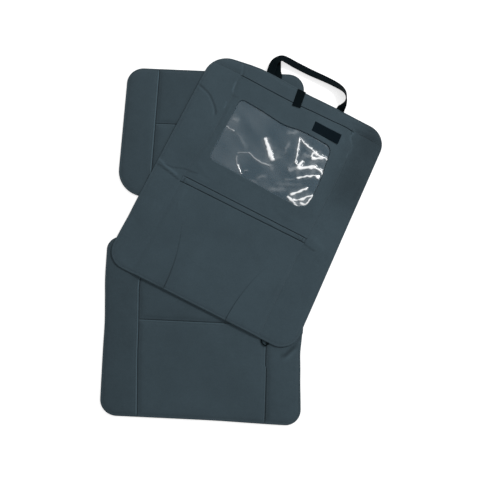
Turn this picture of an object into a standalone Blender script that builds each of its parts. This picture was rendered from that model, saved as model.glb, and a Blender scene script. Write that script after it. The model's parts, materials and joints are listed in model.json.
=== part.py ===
"""Car seat protector in two sewn pieces, laid one on the other as they are stored.

The seat cover lies on the ground: a lining under seven padded panels, with a neck between its
seat part and its back part. The tablet cover lies across it, turned, and drapes down to the
ground past its edges. It carries a header, a tablet pocket with a clear window, a lower pocket
with a hem and two pleats, a closing tab, a plain label and a webbing strap for a headrest.

Metres, +Z up. The origin is the middle of the seat cover's underside, and +Y runs from the
seat part to the back part.
"""

import math

import bmesh
import bpy
import numpy as np
from mathutils.geometry import delaunay_2d_cdt

# Clearance between pieces that are sewn or laid together
SEWN_GAP = 0.0003

# Seat cover, measured along Y from the front edge of the seat part
SEAT_PART_LENGTH = 0.401
NECK_LENGTH = 0.100
BACK_PART_LENGTH = 0.332
SEAT_FRONT_WIDTH = 0.444
SEAT_REAR_WIDTH = 0.470
BACK_WIDTH = 0.441
BACK_SHIFT = -0.003
CENTRE_STRIP_WIDTH = 0.290
NECK_WIDTH = 0.260
SEAT_FRONT_RADIUS = 0.036
SEAT_REAR_RADIUS = 0.030
BACK_LOWER_RADIUS = 0.066
BACK_TOP_RADIUS = 0.040
FRONT_SEAM_DISTANCE = 0.212
TOP_SEAM_DISTANCE = 0.146
LINING_THICKNESS = 0.0012
PADDING_THICKNESS = 0.0037

# Tablet cover, in its own frame: origin in its middle, +Y towards the strap
COVER_WIDTH = 0.478
COVER_LENGTH = 0.578
COVER_RADIUS = 0.046
COVER_SKEW = 0.006
TOP_LEFT_RISE = 0.005
CROWN_RISE = 0.019
CROWN_PLACE = -0.120
CROWN_RADIUS = 0.5
COVER_THICKNESS = 0.0036
COVER_PLACE = (0.0947, 0.0970)
COVER_ANGLE = math.radians(-24.0)
COVER_FALL = 0.100
COVER_OVERHANG = 0.004

# Pockets of the tablet cover
FACE_THICKNESS = 0.0012
POCKET_WIDTH = 0.324
MOUTH_DROP = 0.029
FACE_INSET = 0.0015
TABLET_MOUTH_WIDTH = 0.302
MOUTH_GAP = 0.0010
WINDOW_WIDTH = 0.251
WINDOW_HEIGHT = 0.172
WINDOW_DROP = 0.056
WINDOW_PLACE = -0.0045
WINDOW_SLOPE = -0.055
WINDOW_RADIUS = 0.014
WINDOW_LAP = 0.008
FILM_THICKNESS = 0.0004
LOWER_POCKET_HEIGHT = 0.258
HEM_WIDTH = 0.014
HEM_THICKNESS = 0.0018
PLEAT_SPACING = 0.160
PLEAT_SPREAD = 0.070
PLEAT_HEIGHT = 0.0014
PLEAT_WIDTH = 0.018
PLEAT_EDGE = 0.0012
SIDE_FOLD_DEPTH = 0.0009
SIDE_FOLD_WIDTH = 0.006

# Webbing, label and small trim
WEBBING_WIDTH = 0.020
WEBBING_THICKNESS = 0.0014
STRAP_RIGHT_ROOT = 0.1020
STRAP_LEFT_ROOT = -0.0945
STRAP_TAIL_ROOT = -0.0730
STRAP_RUN_DISTANCE = 0.0635
ROOT_LENGTH = 0.0025
TAB_THICKNESS = 0.0012
TAB_PLACE = 0.0015
TAB_SLANT = 0.003
TAB_CURL = 0.0016
LABEL_WIDTH = 0.070
LABEL_HEIGHT = 0.022
LABEL_THICKNESS = 0.0007
LABEL_PLACE = 0.0975
LABEL_DROP = 0.0325
BARTACK_LENGTH = 0.012
BARTACK_WIDTH = 0.0026
BARTACK_THICKNESS = 0.0008
ELASTIC_DIAMETER = 0.0026
ELASTIC_SPAN = 0.020
ELASTIC_REACH = 0.0075
ELASTIC_PLACE = 0.181

# Mesh fineness
ARC_STEP = math.radians(15.0)
DRAPE_PITCH = 0.020
RIBBON_STEP = 0.005

# Section of a padded edge: distance in from the rim, then share of the thickness reached
PADDED_EDGE = ((0.0, 0.42), (0.0015, 0.72), (0.006, 0.93), (0.016, 1.0))
# Section of a thin turned edge
TURNED_EDGE = ((0.0, 0.6), (0.0012, 1.0))
# How far the underside of the tablet cover's rim is turned up, as shares of the thickness
TURNED_UNDERSIDE = (0.22, 0.05, 0.0, 0.0)

# Worked out from the sizes above
SEAT_COVER_LENGTH = SEAT_PART_LENGTH + NECK_LENGTH + BACK_PART_LENGTH
FRONT_Y = -SEAT_COVER_LENGTH / 2
SEAT_REAR_Y = FRONT_Y + SEAT_PART_LENGTH
BACK_LOWER_Y = SEAT_REAR_Y + NECK_LENGTH
BACK_TOP_Y = BACK_LOWER_Y + BACK_PART_LENGTH
SEAT_COVER_TOP = LINING_THICKNESS + SEWN_GAP + PADDING_THICKNESS
COVER_LIFT = SEAT_COVER_TOP + SEWN_GAP
FACE_LOW = COVER_THICKNESS + SEWN_GAP
FACE_TOP = FACE_LOW + FACE_THICKNESS
COVER_BOTTOM_Y = -COVER_LENGTH / 2
COVER_TOP_Y = COVER_LENGTH / 2
MOUTH_Y = COVER_TOP_Y - MOUTH_DROP
LOWER_MOUTH_Y = COVER_BOTTOM_Y + LOWER_POCKET_HEIGHT
HEM_LOW_Y = LOWER_MOUTH_Y - HEM_WIDTH
WINDOW_TOP_Y = MOUTH_Y - WINDOW_DROP
WINDOW_MIDDLE_Y = WINDOW_TOP_Y - WINDOW_HEIGHT / 2


def clear_scene():
    for thing in list(bpy.data.objects):
        bpy.data.objects.remove(thing)


def make_material(name, colour, roughness, alpha=1.0):
    material = bpy.data.materials.new(name)
    material.use_nodes = True
    shader = material.node_tree.nodes["Principled BSDF"]
    shader.inputs["Base Color"].default_value = (*colour, 1.0)
    shader.inputs["Roughness"].default_value = roughness
    shader.inputs["Metallic"].default_value = 0.0
    shader.inputs["Alpha"].default_value = alpha
    return material


# Outlines

def filleted(corners):
    """Closed outline through (x, y, radius) corners, anticlockwise, each rounded by an arc."""
    points = []
    count = len(corners)
    for i, (x, y, radius) in enumerate(corners):
        corner = np.array((x, y))
        before = np.array(corners[i - 1][:2]) - corner
        after = np.array(corners[(i + 1) % count][:2]) - corner
        before = before / np.linalg.norm(before)
        after = after / np.linalg.norm(after)
        if radius == 0:
            points.append(tuple(corner))
            continue
        opening = math.acos(np.clip(before @ after, -1, 1))
        turn = math.pi - opening
        reach = radius * math.tan(turn / 2)
        bisector = (before + after) / np.linalg.norm(before + after)
        centre = corner + bisector * radius / math.sin(opening / 2)
        start = corner + before * reach - centre
        side = math.copysign(1.0, before[1] * after[0] - before[0] * after[1])
        steps = max(2, round(turn / ARC_STEP))
        for step in range(steps + 1):
            angle = side * turn * step / steps
            turned = (
                start[0] * math.cos(angle) - start[1] * math.sin(angle),
                start[0] * math.sin(angle) + start[1] * math.cos(angle),
            )
            points.append((centre[0] + turned[0], centre[1] + turned[1]))
    return points


def rectangle(left, low, right, high, radius=0.0):
    return filleted(
        ((left, low, radius), (right, low, radius), (right, high, radius), (left, high, radius))
    )


def clipped(outline, normal, limit):
    """The part of an outline on the side where point . normal is at most limit."""
    kept = []
    for i, point in enumerate(outline):
        before = np.array(outline[i - 1])
        here = np.array(point)
        past_before = before @ normal - limit
        past_here = here @ normal - limit
        if past_before * past_here < 0:
            share = past_before / (past_before - past_here)
            kept.append(tuple(before + share * (here - before)))
        if past_here <= 0:
            kept.append(tuple(here))
    return without_repeats(kept)


def without_repeats(outline, least=0.0002):
    kept = []
    for point in outline:
        if not kept or math.dist(point, kept[-1]) > least:
            kept.append(point)
    if math.dist(kept[0], kept[-1]) <= least:
        kept.pop()
    return kept


def subdivided(outline, longest):
    """The same outline with no edge longer than the given length."""
    points = []
    for i, start in enumerate(outline):
        end = outline[(i + 1) % len(outline)]
        parts = max(1, math.ceil(math.dist(start, end) / longest))
        for part in range(parts):
            share = part / parts
            points.append(tuple(np.array(start) * (1 - share) + np.array(end) * share))
    return points


def inset(outline, distance):
    """The outline moved inwards by a distance, with mitred corners."""
    here = np.array(outline)
    before = here - np.roll(here, 1, axis=0)
    after = np.roll(here, -1, axis=0) - here
    before /= np.linalg.norm(before, axis=1)[:, None]
    after /= np.linalg.norm(after, axis=1)[:, None]
    inward_before = np.stack((-before[:, 1], before[:, 0]), axis=1)
    inward_after = np.stack((-after[:, 1], after[:, 0]), axis=1)
    bisector = inward_before + inward_after
    bisector /= np.linalg.norm(bisector, axis=1)[:, None]
    half_cosine = np.clip((bisector * inward_before).sum(axis=1), 0.4, 1.0)
    return [tuple(p) for p in here + bisector * (distance / half_cosine)[:, None]]


def distance_outside(points, outline):
    """Signed distance of points to an outline, negative inside it."""
    points = np.atleast_2d(np.array(points, float))
    start = np.array(outline)
    end = np.roll(start, -1, axis=0)
    along = end - start
    to_point = points[:, None, :] - start[None]
    share = (to_point * along).sum(-1) / (along * along).sum(-1)
    nearest = to_point - np.clip(share, 0, 1)[..., None] * along
    distance = np.sqrt((nearest * nearest).sum(-1)).min(axis=1)
    crosses = (start[:, 1] > points[:, 1:2]) != (end[:, 1] > points[:, 1:2])
    rise = np.where(along[:, 1] == 0, 1.0, along[:, 1])
    meets_x = start[:, 0] + (points[:, 1:2] - start[:, 1]) / rise * along[:, 0]
    inside = (crosses & (points[:, :1] < meets_x)).sum(axis=1) % 2 == 1
    return np.where(inside, -distance, distance)


def seat_cover_outline():
    front, rear, back = SEAT_FRONT_WIDTH / 2, SEAT_REAR_WIDTH / 2, BACK_WIDTH / 2
    neck = NECK_WIDTH / 2
    fillet = (CENTRE_STRIP_WIDTH - NECK_WIDTH) / 2
    right = (
        (front, FRONT_Y, SEAT_FRONT_RADIUS),
        (rear, SEAT_REAR_Y, SEAT_REAR_RADIUS),
        (neck, SEAT_REAR_Y, fillet),
        (neck, BACK_LOWER_Y, fillet),
        (back, BACK_LOWER_Y, BACK_LOWER_RADIUS),
        (back, BACK_TOP_Y, BACK_TOP_RADIUS),
    )
    left = tuple((-x, y, radius) for x, y, radius in reversed(right))
    return filleted(
        [(x + BACK_SHIFT if abs(x) == back else x, y, radius) for x, y, radius in right + left]
    )


def tablet_cover_outline():
    """Rounded outline that lies a little askew, with the crown of its top edge off centre."""
    half = COVER_WIDTH / 2
    return filleted(
        (
            (-half + COVER_SKEW, COVER_BOTTOM_Y, COVER_RADIUS),
            (half + COVER_SKEW, COVER_BOTTOM_Y, COVER_RADIUS),
            (half - COVER_SKEW, COVER_TOP_Y, COVER_RADIUS),
            (CROWN_PLACE, COVER_TOP_Y + CROWN_RISE, CROWN_RADIUS),
            (-half - COVER_SKEW, COVER_TOP_Y + TOP_LEFT_RISE, COVER_RADIUS),
        )
    )


def window_outline(margin):
    """Outline of the window, made larger on every side by a margin; it slopes to the right."""
    across, up = WINDOW_WIDTH / 2 + margin, WINDOW_HEIGHT / 2 + margin
    return [
        (WINDOW_PLACE + x, WINDOW_MIDDLE_Y + WINDOW_SLOPE * x + y)
        for x, y in rectangle(-across, -up, across, up, WINDOW_RADIUS + margin)
    ]


# Resting heights

def lying_flat(x, y):
    return np.zeros_like(np.asarray(x, float))


def draped(x, y):
    """Height at which the tablet cover rests, at points in its own frame.

    It is held up by the seat cover and falls to the ground past the seat cover's edge, along an
    S-shaped curve of the length COVER_FALL.
    """
    x, y = np.asarray(x, float), np.asarray(y, float)
    cosine, sine = math.cos(COVER_ANGLE), math.sin(COVER_ANGLE)
    there = np.stack(
        (
            COVER_PLACE[0] + x * cosine - y * sine,
            COVER_PLACE[1] + x * sine + y * cosine,
        ),
        axis=-1,
    ).reshape(-1, 2)
    past = (distance_outside(there, seat_cover_outline()) - COVER_OVERHANG) / COVER_FALL
    past = np.clip(past, 0.0, 1.0)
    held = 1 - past * past * (3 - 2 * past)
    return (COVER_LIFT * held).reshape(x.shape)


def rest_height(x, y):
    return float(draped(np.array([x]), np.array([y]))[0])


def cover_edge_y(x):
    """Y of the tablet cover's arched top edge at a place across it."""
    outline = np.array(tablet_cover_outline())
    top = outline[outline[:, 1] > COVER_TOP_Y - COVER_RADIUS]
    top = top[np.argsort(top[:, 0])]
    return float(np.interp(x, top[:, 0], top[:, 1]))


# Panels

def lattice(outline, pitch):
    """Staggered points, pitch apart, that lie well inside an outline."""
    corners = np.array(outline)
    low, high = corners.min(axis=0), corners.max(axis=0)
    row_pitch = pitch * math.sqrt(3) / 2
    points = []
    for row in range(math.floor(low[1] / row_pitch), math.ceil(high[1] / row_pitch) + 1):
        shift = pitch / 2 * (row % 2)
        for column in range(math.floor(low[0] / pitch) - 1, math.ceil(high[0] / pitch) + 1):
            points.append((column * pitch + shift, row * row_pitch))
    return np.array(points)


def rim_rows(low, thickness, edge=PADDED_EDGE, underside=None):
    """Rows of (inset, low, high) for an edge section over a given underside height."""
    rows = []
    for i, (distance, share) in enumerate(edge):
        turned = underside[i] if underside else 0.0
        rows.append((distance, low + turned * thickness, low + share * thickness))
    return rows


def panel(name, outline, rows, material, rest=lying_flat, pitch=None, hole=None, hole_rows=(),
          relief=None, lines=()):
    """A sewn panel: an outline with a rounded rim, laid over a resting height.

    The outline is moved inwards once for each row, and the rings, the points of the lattice
    between them and any relief lines are triangulated. The triangles give the upper and lower
    faces, and walls close them along the outline and along the hole.
    """
    outline = subdivided(without_repeats(outline), pitch) if pitch else outline
    points, edges, heights = [], [], []

    def add_ring(ring, low, high, closed=True):
        first = len(points)
        points.extend(ring)
        heights.extend([(low, high)] * len(ring))
        last = len(ring) if closed else len(ring) - 1
        edges.extend((first + i, first + (i + 1) % len(ring)) for i in range(last))

    for distance, low, high in rows:
        add_ring(inset(outline, distance), low, high)
    if hole:
        hole = subdivided(hole, pitch) if pitch else hole
        for distance, low, high in hole_rows:
            add_ring(inset(hole, -distance), low, high)
    low, high = rows[-1][1:]
    for line in lines:
        add_ring(line, low, high, closed=False)
    if pitch:
        ring = inset(outline, rows[-1][0])
        free = lattice(outline, pitch)
        free = free[distance_outside(free, ring) < -0.35 * pitch]
        if hole:
            around = inset(hole, -hole_rows[-1][0])
            free = free[distance_outside(free, around) > 0.35 * pitch]
        for line in lines:
            gaps = free[:, None, :] - np.array(line)[None]
            free = free[np.sqrt((gaps ** 2).sum(-1)).min(axis=1) > 0.25 * pitch]
        points.extend(tuple(p) for p in free)
        heights.extend([(low, high)] * len(free))

    flat, _, triangles, sources, _, _ = delaunay_2d_cdt(
        [tuple(p) for p in points], edges, [], 0, 1e-7
    )
    flat = np.array([tuple(p) for p in flat])
    levels = np.array([heights[source[0]] if source else (low, high) for source in sources])
    middles = flat[np.array(triangles)].mean(axis=1)
    kept = distance_outside(middles, outline) < 0
    if hole:
        kept &= distance_outside(middles, hole) > 0
    triangles = [triangle for triangle, keep in zip(triangles, kept) if keep]

    ground = rest(flat[:, 0], flat[:, 1])
    lifted = relief(flat[:, 0], flat[:, 1]) if relief else np.zeros(len(flat))
    lower = np.column_stack((flat, ground + levels[:, 0]))
    upper = np.column_stack((flat, ground + levels[:, 1] + lifted))
    return solid_between(name, lower, upper, triangles, material)


def solid_between(name, lower, upper, triangles, material):
    """A closed solid from matching lower and upper points and the triangles over them."""
    mesh_data = bmesh.new()
    used = sorted({corner for triangle in triangles for corner in triangle})
    low_verts = {i: mesh_data.verts.new(lower[i]) for i in used}
    high_verts = {i: mesh_data.verts.new(upper[i]) for i in used}
    directed = set()
    for a, b, c in triangles:
        mesh_data.faces.new((high_verts[a], high_verts[b], high_verts[c]))
        mesh_data.faces.new((low_verts[c], low_verts[b], low_verts[a]))
        directed.update(((a, b), (b, c), (c, a)))
    for a, b in directed:
        if (b, a) not in directed:
            mesh_data.faces.new((low_verts[a], low_verts[b], high_verts[b], high_verts[a]))
    bmesh.ops.recalc_face_normals(mesh_data, faces=mesh_data.faces)
    return object_from(name, mesh_data, material)


def object_from(name, mesh_data, material, smooth=math.radians(50)):
    mesh = bpy.data.meshes.new(name)
    mesh_data.to_mesh(mesh)
    mesh_data.free()
    mesh.shade_smooth()
    mesh.set_sharp_from_angle(angle=smooth)
    mesh.materials.append(material)
    made = bpy.data.objects.new(name, mesh)
    bpy.context.collection.objects.link(made)
    return made


# Webbing

def smooth_path(stations, step):
    """Stations of any number of values, read from a Catmull-Rom curve every step along it."""
    stations = np.array(stations, float)
    ends = np.vstack((2 * stations[0] - stations[1], stations, 2 * stations[-1] - stations[-2]))
    samples = []
    for i in range(1, len(ends) - 2):
        p0, p1, p2, p3 = ends[i - 1:i + 3]
        parts = max(1, round(np.linalg.norm(p2[:3] - p1[:3]) / step))
        for part in range(parts):
            t = part / parts
            samples.append(
                0.5 * (2 * p1 + (p2 - p0) * t + (2 * p0 - 5 * p1 + 4 * p2 - p3) * t ** 2
                       + (3 * p1 - p0 - 3 * p2 + p3) * t ** 3)
            )
    samples.append(stations[-1])
    return np.array(samples)


def level_across(along):
    """Level unit vectors square to a path, carried on through places where it stands upright."""
    level = np.cross(along, (0.0, 0.0, 1.0))
    for i, vector in enumerate(level):
        length = np.linalg.norm(vector)
        level[i] = vector / length if length > 1e-6 else level[i - 1]
        if i and level[i] @ level[i - 1] < 0:
            level[i] = -level[i]
    return level


def ribbon(name, stations, width, thickness, material, step=RIBBON_STEP):
    """Flat webbing through (x, y, z, lean) stations.

    Lean is the angle in degrees between the webbing's width and level ground: 0 lies flat, 90
    stands on its edge.
    """
    path = smooth_path(stations, step)
    centres = path[:, :3]
    along = np.gradient(centres, axis=0)
    along /= np.linalg.norm(along, axis=1)[:, None]
    level = level_across(along)
    upright = np.cross(level, along)
    lean = np.radians(path[:, 3])[:, None]
    across = np.cos(lean) * level + np.sin(lean) * upright
    through = np.cross(across, along)
    half, round_edge = width / 2, thickness / 2
    section = (
        (-half, 0.0), (-half + round_edge, -thickness / 2), (half - round_edge, -thickness / 2),
        (half, 0.0), (half - round_edge, thickness / 2), (-half + round_edge, thickness / 2),
    )
    mesh_data = bmesh.new()
    rings = [
        [mesh_data.verts.new(centres[i] + u * across[i] + v * through[i]) for u, v in section]
        for i in range(len(path))
    ]
    for ring, following in zip(rings, rings[1:]):
        for i in range(len(section)):
            j = (i + 1) % len(section)
            mesh_data.faces.new((ring[i], ring[j], following[j], following[i]))
    mesh_data.faces.new(rings[0])
    mesh_data.faces.new(rings[-1])
    bmesh.ops.recalc_face_normals(mesh_data, faces=mesh_data.faces)
    return object_from(name, mesh_data, material)


# Seat cover

def build_seat_cover(fabric, lining):
    outline = seat_cover_outline()
    panel("seat_cover_lining", inset(outline, 0.001),
          rim_rows(0.0, LINING_THICKNESS, TURNED_EDGE), lining)
    half_gap = SEWN_GAP / 2
    strip = CENTRE_STRIP_WIDTH / 2
    neck_middle = (SEAT_REAR_Y + BACK_LOWER_Y) / 2
    front_seam = FRONT_Y + FRONT_SEAM_DISTANCE
    top_seam = BACK_TOP_Y - TOP_SEAM_DISTANCE
    rows = rim_rows(LINING_THICKNESS + SEWN_GAP, PADDING_THICKNESS)

    for part, towards in (("back", -1), ("front", 1)):
        half_cover = clipped(outline, (0, towards), towards * neck_middle)
        for hand, side in (("left", 1), ("right", -1)):
            wing = clipped(half_cover, (side, 0), -strip - half_gap)
            panel(f"seat_cover_{part}_{hand}_wing", wing, rows, fabric)

    centre = clipped(clipped(outline, (1, 0), strip - half_gap), (-1, 0), strip - half_gap)
    top = clipped(centre, (0, -1), -top_seam - half_gap)
    middle = clipped(clipped(centre, (0, 1), top_seam - half_gap), (0, -1), -front_seam - half_gap)
    front = clipped(centre, (0, 1), front_seam - half_gap)
    for name, piece in (("top", top), ("middle", middle), ("front", front)):
        panel(f"seat_cover_centre_{name}", piece, rows, fabric)


# Tablet cover

def side_fold_relief(x, y):
    """The sunk fold that carries the lower pocket's mouth on to both side edges."""
    beside = np.abs(x) > POCKET_WIDTH / 2 - SIDE_FOLD_WIDTH
    off = np.abs(y - (LOWER_MOUTH_Y + HEM_LOW_Y) / 2) / SIDE_FOLD_WIDTH
    near_rim = COVER_WIDTH / 2 - np.abs(x) < PADDED_EDGE[2][0]
    return -SIDE_FOLD_DEPTH * beside * ~near_rim * np.clip(1 - off, 0, 1)


def side_fold_lines():
    """Lines across each side margin that bound the fold and follow its bottom."""
    middle = (LOWER_MOUTH_Y + HEM_LOW_Y) / 2
    inner = POCKET_WIDTH / 2
    outer = COVER_WIDTH / 2 - PADDED_EDGE[-1][0] - 0.001
    lines = []
    for side in (-1, 1):
        for step in (-1, 0, 1):
            y = middle + step * SIDE_FOLD_WIDTH
            places = np.linspace(inner, outer, 4)
            lines.append([(side * x, y) for x in places])
    return lines


def pleat_x(y):
    """How far a pleat stands from the cover's middle line at a height y."""
    share = (y - COVER_BOTTOM_Y) / (LOWER_POCKET_HEIGHT - 2 * HEM_WIDTH)
    return PLEAT_SPACING / 2 + PLEAT_SPREAD * share ** 2


def pleat_relief(x, y):
    """Both pleats: a step up at the fold, which dies away outwards and towards the hem."""
    beyond = np.abs(x) - pleat_x(y)
    share = np.clip((y - COVER_BOTTOM_Y) / (0.7 * LOWER_POCKET_HEIGHT), 0, 1)
    near_side = np.clip((POCKET_WIDTH / 2 - np.abs(x)) / 0.01, 0, 1)
    outside = np.where(beyond > 0.0001, np.exp(-np.clip(beyond, 0, 1) / PLEAT_WIDTH), 0.0)
    return PLEAT_HEIGHT * outside * (1 - share) * near_side


def pleat_lines():
    """Two lines along each pleat, at the foot and at the crest of its fold."""
    low = COVER_BOTTOM_Y + FACE_INSET + 2 * TURNED_EDGE[-1][0]
    heights = np.linspace(low, COVER_BOTTOM_Y + 0.6 * LOWER_POCKET_HEIGHT, 12)
    lines = []
    for side in (-1, 1):
        for beyond in (0.0, PLEAT_EDGE):
            lines.append([(side * (pleat_x(y) + beyond), y) for y in heights])
    return lines


def build_tablet_cover(fabric, film, webbing, label_cloth):
    cover = bpy.data.objects.new("tablet_cover", None)
    cover.location = (*COVER_PLACE, 0.0)
    cover.rotation_euler = (0.0, 0.0, COVER_ANGLE)
    bpy.context.collection.objects.link(cover)

    outline = tablet_cover_outline()
    half_pocket = POCKET_WIDTH / 2
    pieces = [
        panel("tablet_cover_back_panel", outline,
              rim_rows(0.0, COVER_THICKNESS, PADDED_EDGE, TURNED_UNDERSIDE), fabric,
              rest=draped, pitch=DRAPE_PITCH, relief=side_fold_relief, lines=side_fold_lines())
    ]
    face_rows = rim_rows(FACE_LOW, FACE_THICKNESS, TURNED_EDGE)
    inner_outline = inset(outline, FACE_INSET)
    header = clipped(inner_outline, (0, -1), -MOUTH_Y - MOUTH_GAP / 2)
    pieces.append(panel("tablet_cover_header", header, face_rows, fabric, rest=draped,
                        pitch=DRAPE_PITCH))

    pocket = rectangle(-half_pocket, LOWER_MOUTH_Y + MOUTH_GAP / 2, half_pocket,
                       MOUTH_Y - MOUTH_GAP / 2)
    rebate_low = FACE_LOW + FILM_THICKNESS + SEWN_GAP
    window_rows = (
        (0.0, rebate_low, rebate_low + SEWN_GAP),
        (TURNED_EDGE[-1][0], rebate_low, FACE_TOP),
        (WINDOW_LAP + SEWN_GAP, rebate_low, FACE_TOP),
        (WINDOW_LAP + 2 * SEWN_GAP, FACE_LOW, FACE_TOP),
    )
    pieces.append(panel("tablet_pocket_panel", pocket, face_rows, fabric, rest=draped,
                        pitch=DRAPE_PITCH, hole=window_outline(0.0), hole_rows=window_rows))
    pieces.append(panel("tablet_pocket_window", window_outline(WINDOW_LAP),
                        rim_rows(FACE_LOW, FILM_THICKNESS, ((0.0, 1.0),)), film, rest=draped,
                        pitch=DRAPE_PITCH))

    hem = rectangle(-half_pocket, HEM_LOW_Y + SEWN_GAP / 2, half_pocket,
                    LOWER_MOUTH_Y - MOUTH_GAP / 2)
    pieces.append(panel("lower_pocket_hem", hem, rim_rows(FACE_LOW, HEM_THICKNESS, TURNED_EDGE),
                        fabric, rest=draped, pitch=DRAPE_PITCH))
    lower = rectangle(-half_pocket, COVER_BOTTOM_Y + FACE_INSET, half_pocket,
                      HEM_LOW_Y - SEWN_GAP / 2)
    pieces.append(panel("lower_pocket_panel", lower, face_rows, fabric, rest=draped,
                        pitch=DRAPE_PITCH, relief=pleat_relief, lines=pleat_lines()))

    pieces.extend(build_trim(fabric, webbing, label_cloth))
    pieces.extend(build_strap(webbing))
    for piece in pieces:
        piece.parent = cover


def build_trim(fabric, webbing, label_cloth):
    """The closing tab, the plain label, the four bartacks and the elastic loop."""
    made = []
    edge_y = cover_edge_y(TAB_PLACE)
    ground = rest_height(TAB_PLACE, edge_y)
    curl_y = edge_y + SEWN_GAP
    top_z = FACE_TOP + SEWN_GAP + TAB_THICKNESS / 2
    root_z = top_z - 2 * TAB_CURL
    middle_z = top_z - TAB_CURL
    edge_x = TAB_PLACE - TAB_SLANT
    stations = [(edge_x, curl_y, ground + root_z, 0.0)]
    for step in range(1, 6):
        angle = math.pi * step / 6
        stations.append((edge_x, curl_y + TAB_CURL * math.sin(angle),
                         ground + middle_z - TAB_CURL * math.cos(angle), 0.0))
    run = edge_y - MOUTH_Y - MOUTH_GAP
    for share in (0.0, 0.1, 0.35, 0.65, 1.0):
        x, y = edge_x + share * TAB_SLANT, curl_y - share * run
        stations.append((x, y, rest_height(x, y) + top_z, 0.0))
    made.append(ribbon("closing_tab", stations, WEBBING_WIDTH, TAB_THICKNESS, webbing,
                       step=0.0012))

    label_y = MOUTH_Y - LABEL_DROP
    label = rectangle(LABEL_PLACE - LABEL_WIDTH / 2, label_y - LABEL_HEIGHT / 2,
                      LABEL_PLACE + LABEL_WIDTH / 2, label_y + LABEL_HEIGHT / 2)
    made.append(panel("plain_label", label,
                      rim_rows(FACE_TOP + SEWN_GAP, LABEL_THICKNESS, ((0.0, 0.7), (0.0008, 1.0))),
                      label_cloth, rest=draped, pitch=DRAPE_PITCH / 2))

    hem_middle = (LOWER_MOUTH_Y + HEM_LOW_Y) / 2
    hem_top = FACE_LOW + HEM_THICKNESS
    places = (
        ("tablet_mouth_bartack", TABLET_MOUTH_WIDTH / 2, MOUTH_Y, BARTACK_LENGTH, FACE_TOP),
        ("hem_bartack", POCKET_WIDTH / 2 - 2 * BARTACK_WIDTH, hem_middle,
         HEM_WIDTH - 2 * BARTACK_WIDTH, hem_top),
    )
    for name, reach, middle, length, surface in places:
        for hand, side in (("left", -1), ("right", 1)):
            x = side * reach
            tack = rectangle(x - BARTACK_WIDTH / 2, middle - length / 2,
                             x + BARTACK_WIDTH / 2, middle + length / 2)
            made.append(panel(f"{name}_{hand}", tack,
                              rim_rows(surface + SEWN_GAP, BARTACK_THICKNESS,
                                       ((0.0, 0.5), (0.0006, 1.0))),
                              fabric, rest=draped))
    made.append(elastic_loop(webbing))
    return made


def elastic_loop(webbing):
    """Round elastic that leaves the lower edge and turns back into it."""
    line = bpy.data.curves.new("elastic_loop", "CURVE")
    line.dimensions = "3D"
    line.bevel_depth = ELASTIC_DIAMETER / 2
    line.bevel_resolution = 2
    line.use_fill_caps = True
    spline = line.splines.new("POLY")
    steps = 12
    spline.points.add(steps)
    start_y = COVER_BOTTOM_Y - ELASTIC_DIAMETER / 8
    for step in range(steps + 1):
        angle = math.pi * step / steps
        x = ELASTIC_PLACE - ELASTIC_SPAN / 2 * math.cos(angle)
        y = start_y - ELASTIC_REACH * math.sin(angle)
        z = rest_height(x, y) + SEWN_GAP + ELASTIC_DIAMETER / 2
        spline.points[step].co = (x, y, z, 1.0)
    line.materials.append(webbing)
    made = bpy.data.objects.new("elastic_loop", line)
    bpy.context.collection.objects.link(made)
    return made


def build_strap(webbing):
    """The headrest strap, rooted twice in the top seam, and the loose tail beside its left root.

    From the right root the webbing stands up on its edge as it turns, then leans back for the
    long run, folds over at the left and comes down to its other root above the tail.
    """
    root_z = (PADDED_EDGE[0][1] * COVER_THICKNESS + FACE_LOW) / 2 + SEWN_GAP

    def rooted(x, lean):
        """Two stations of webbing that leaves the seam square to it, a gap off the edge."""
        sides = (cover_edge_y(x - WEBBING_WIDTH / 2), cover_edge_y(x + WEBBING_WIDTH / 2))
        y = max(sides) + SEWN_GAP
        z = rest_height(x, y) + root_z
        return [(x, y, z, lean), (x, y + ROOT_LENGTH, z, lean)]

    run_y = COVER_TOP_Y + STRAP_RUN_DISTANCE
    right, left, tail_root = STRAP_RIGHT_ROOT, STRAP_LEFT_ROOT, STRAP_TAIL_ROOT
    strap = rooted(right, 0) + [
        (right + 0.0010, run_y - 0.0425, 0.0088, 45),
        (right + 0.0009, run_y - 0.0350, 0.0118, 80),
        (right - 0.0007, run_y - 0.0275, 0.0112, 106),
        (right - 0.0053, run_y - 0.0180, 0.0100, 130),
        (right - 0.0141, run_y - 0.0094, 0.0080, 148),
        (right - 0.0313, run_y - 0.0033, 0.0060, 156),
        (right - 0.0614, run_y, 0.0055, 158),
        (right - 0.1114, run_y - 0.0005, 0.0055, 158),
        (left + 0.0453, run_y + 0.0014, 0.0065, 156),
        (left + 0.0226, run_y + 0.0025, 0.0090, 150),
        (left + 0.0089, run_y - 0.0009, 0.0115, 146),
        (left + 0.0003, run_y - 0.0106, 0.0110, 150),
        (left - 0.0029, run_y - 0.0228, 0.0092, 160),
    ] + rooted(left, 180)[::-1]
    tail = rooted(tail_root, 0) + [
        (tail_root - 0.0032, run_y - 0.0340, 0.0082, 34),
        (tail_root - 0.0070, run_y - 0.0255, 0.0096, 58),
        (tail_root - 0.0115, run_y - 0.0160, 0.0062, 34),
        (tail_root - 0.0155, run_y - 0.0080, 0.0028, 8),
    ]
    return [
        ribbon("headrest_strap", strap, WEBBING_WIDTH, WEBBING_THICKNESS, webbing),
        ribbon("headrest_strap_tail", tail, WEBBING_WIDTH, WEBBING_THICKNESS, webbing),
    ]


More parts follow.
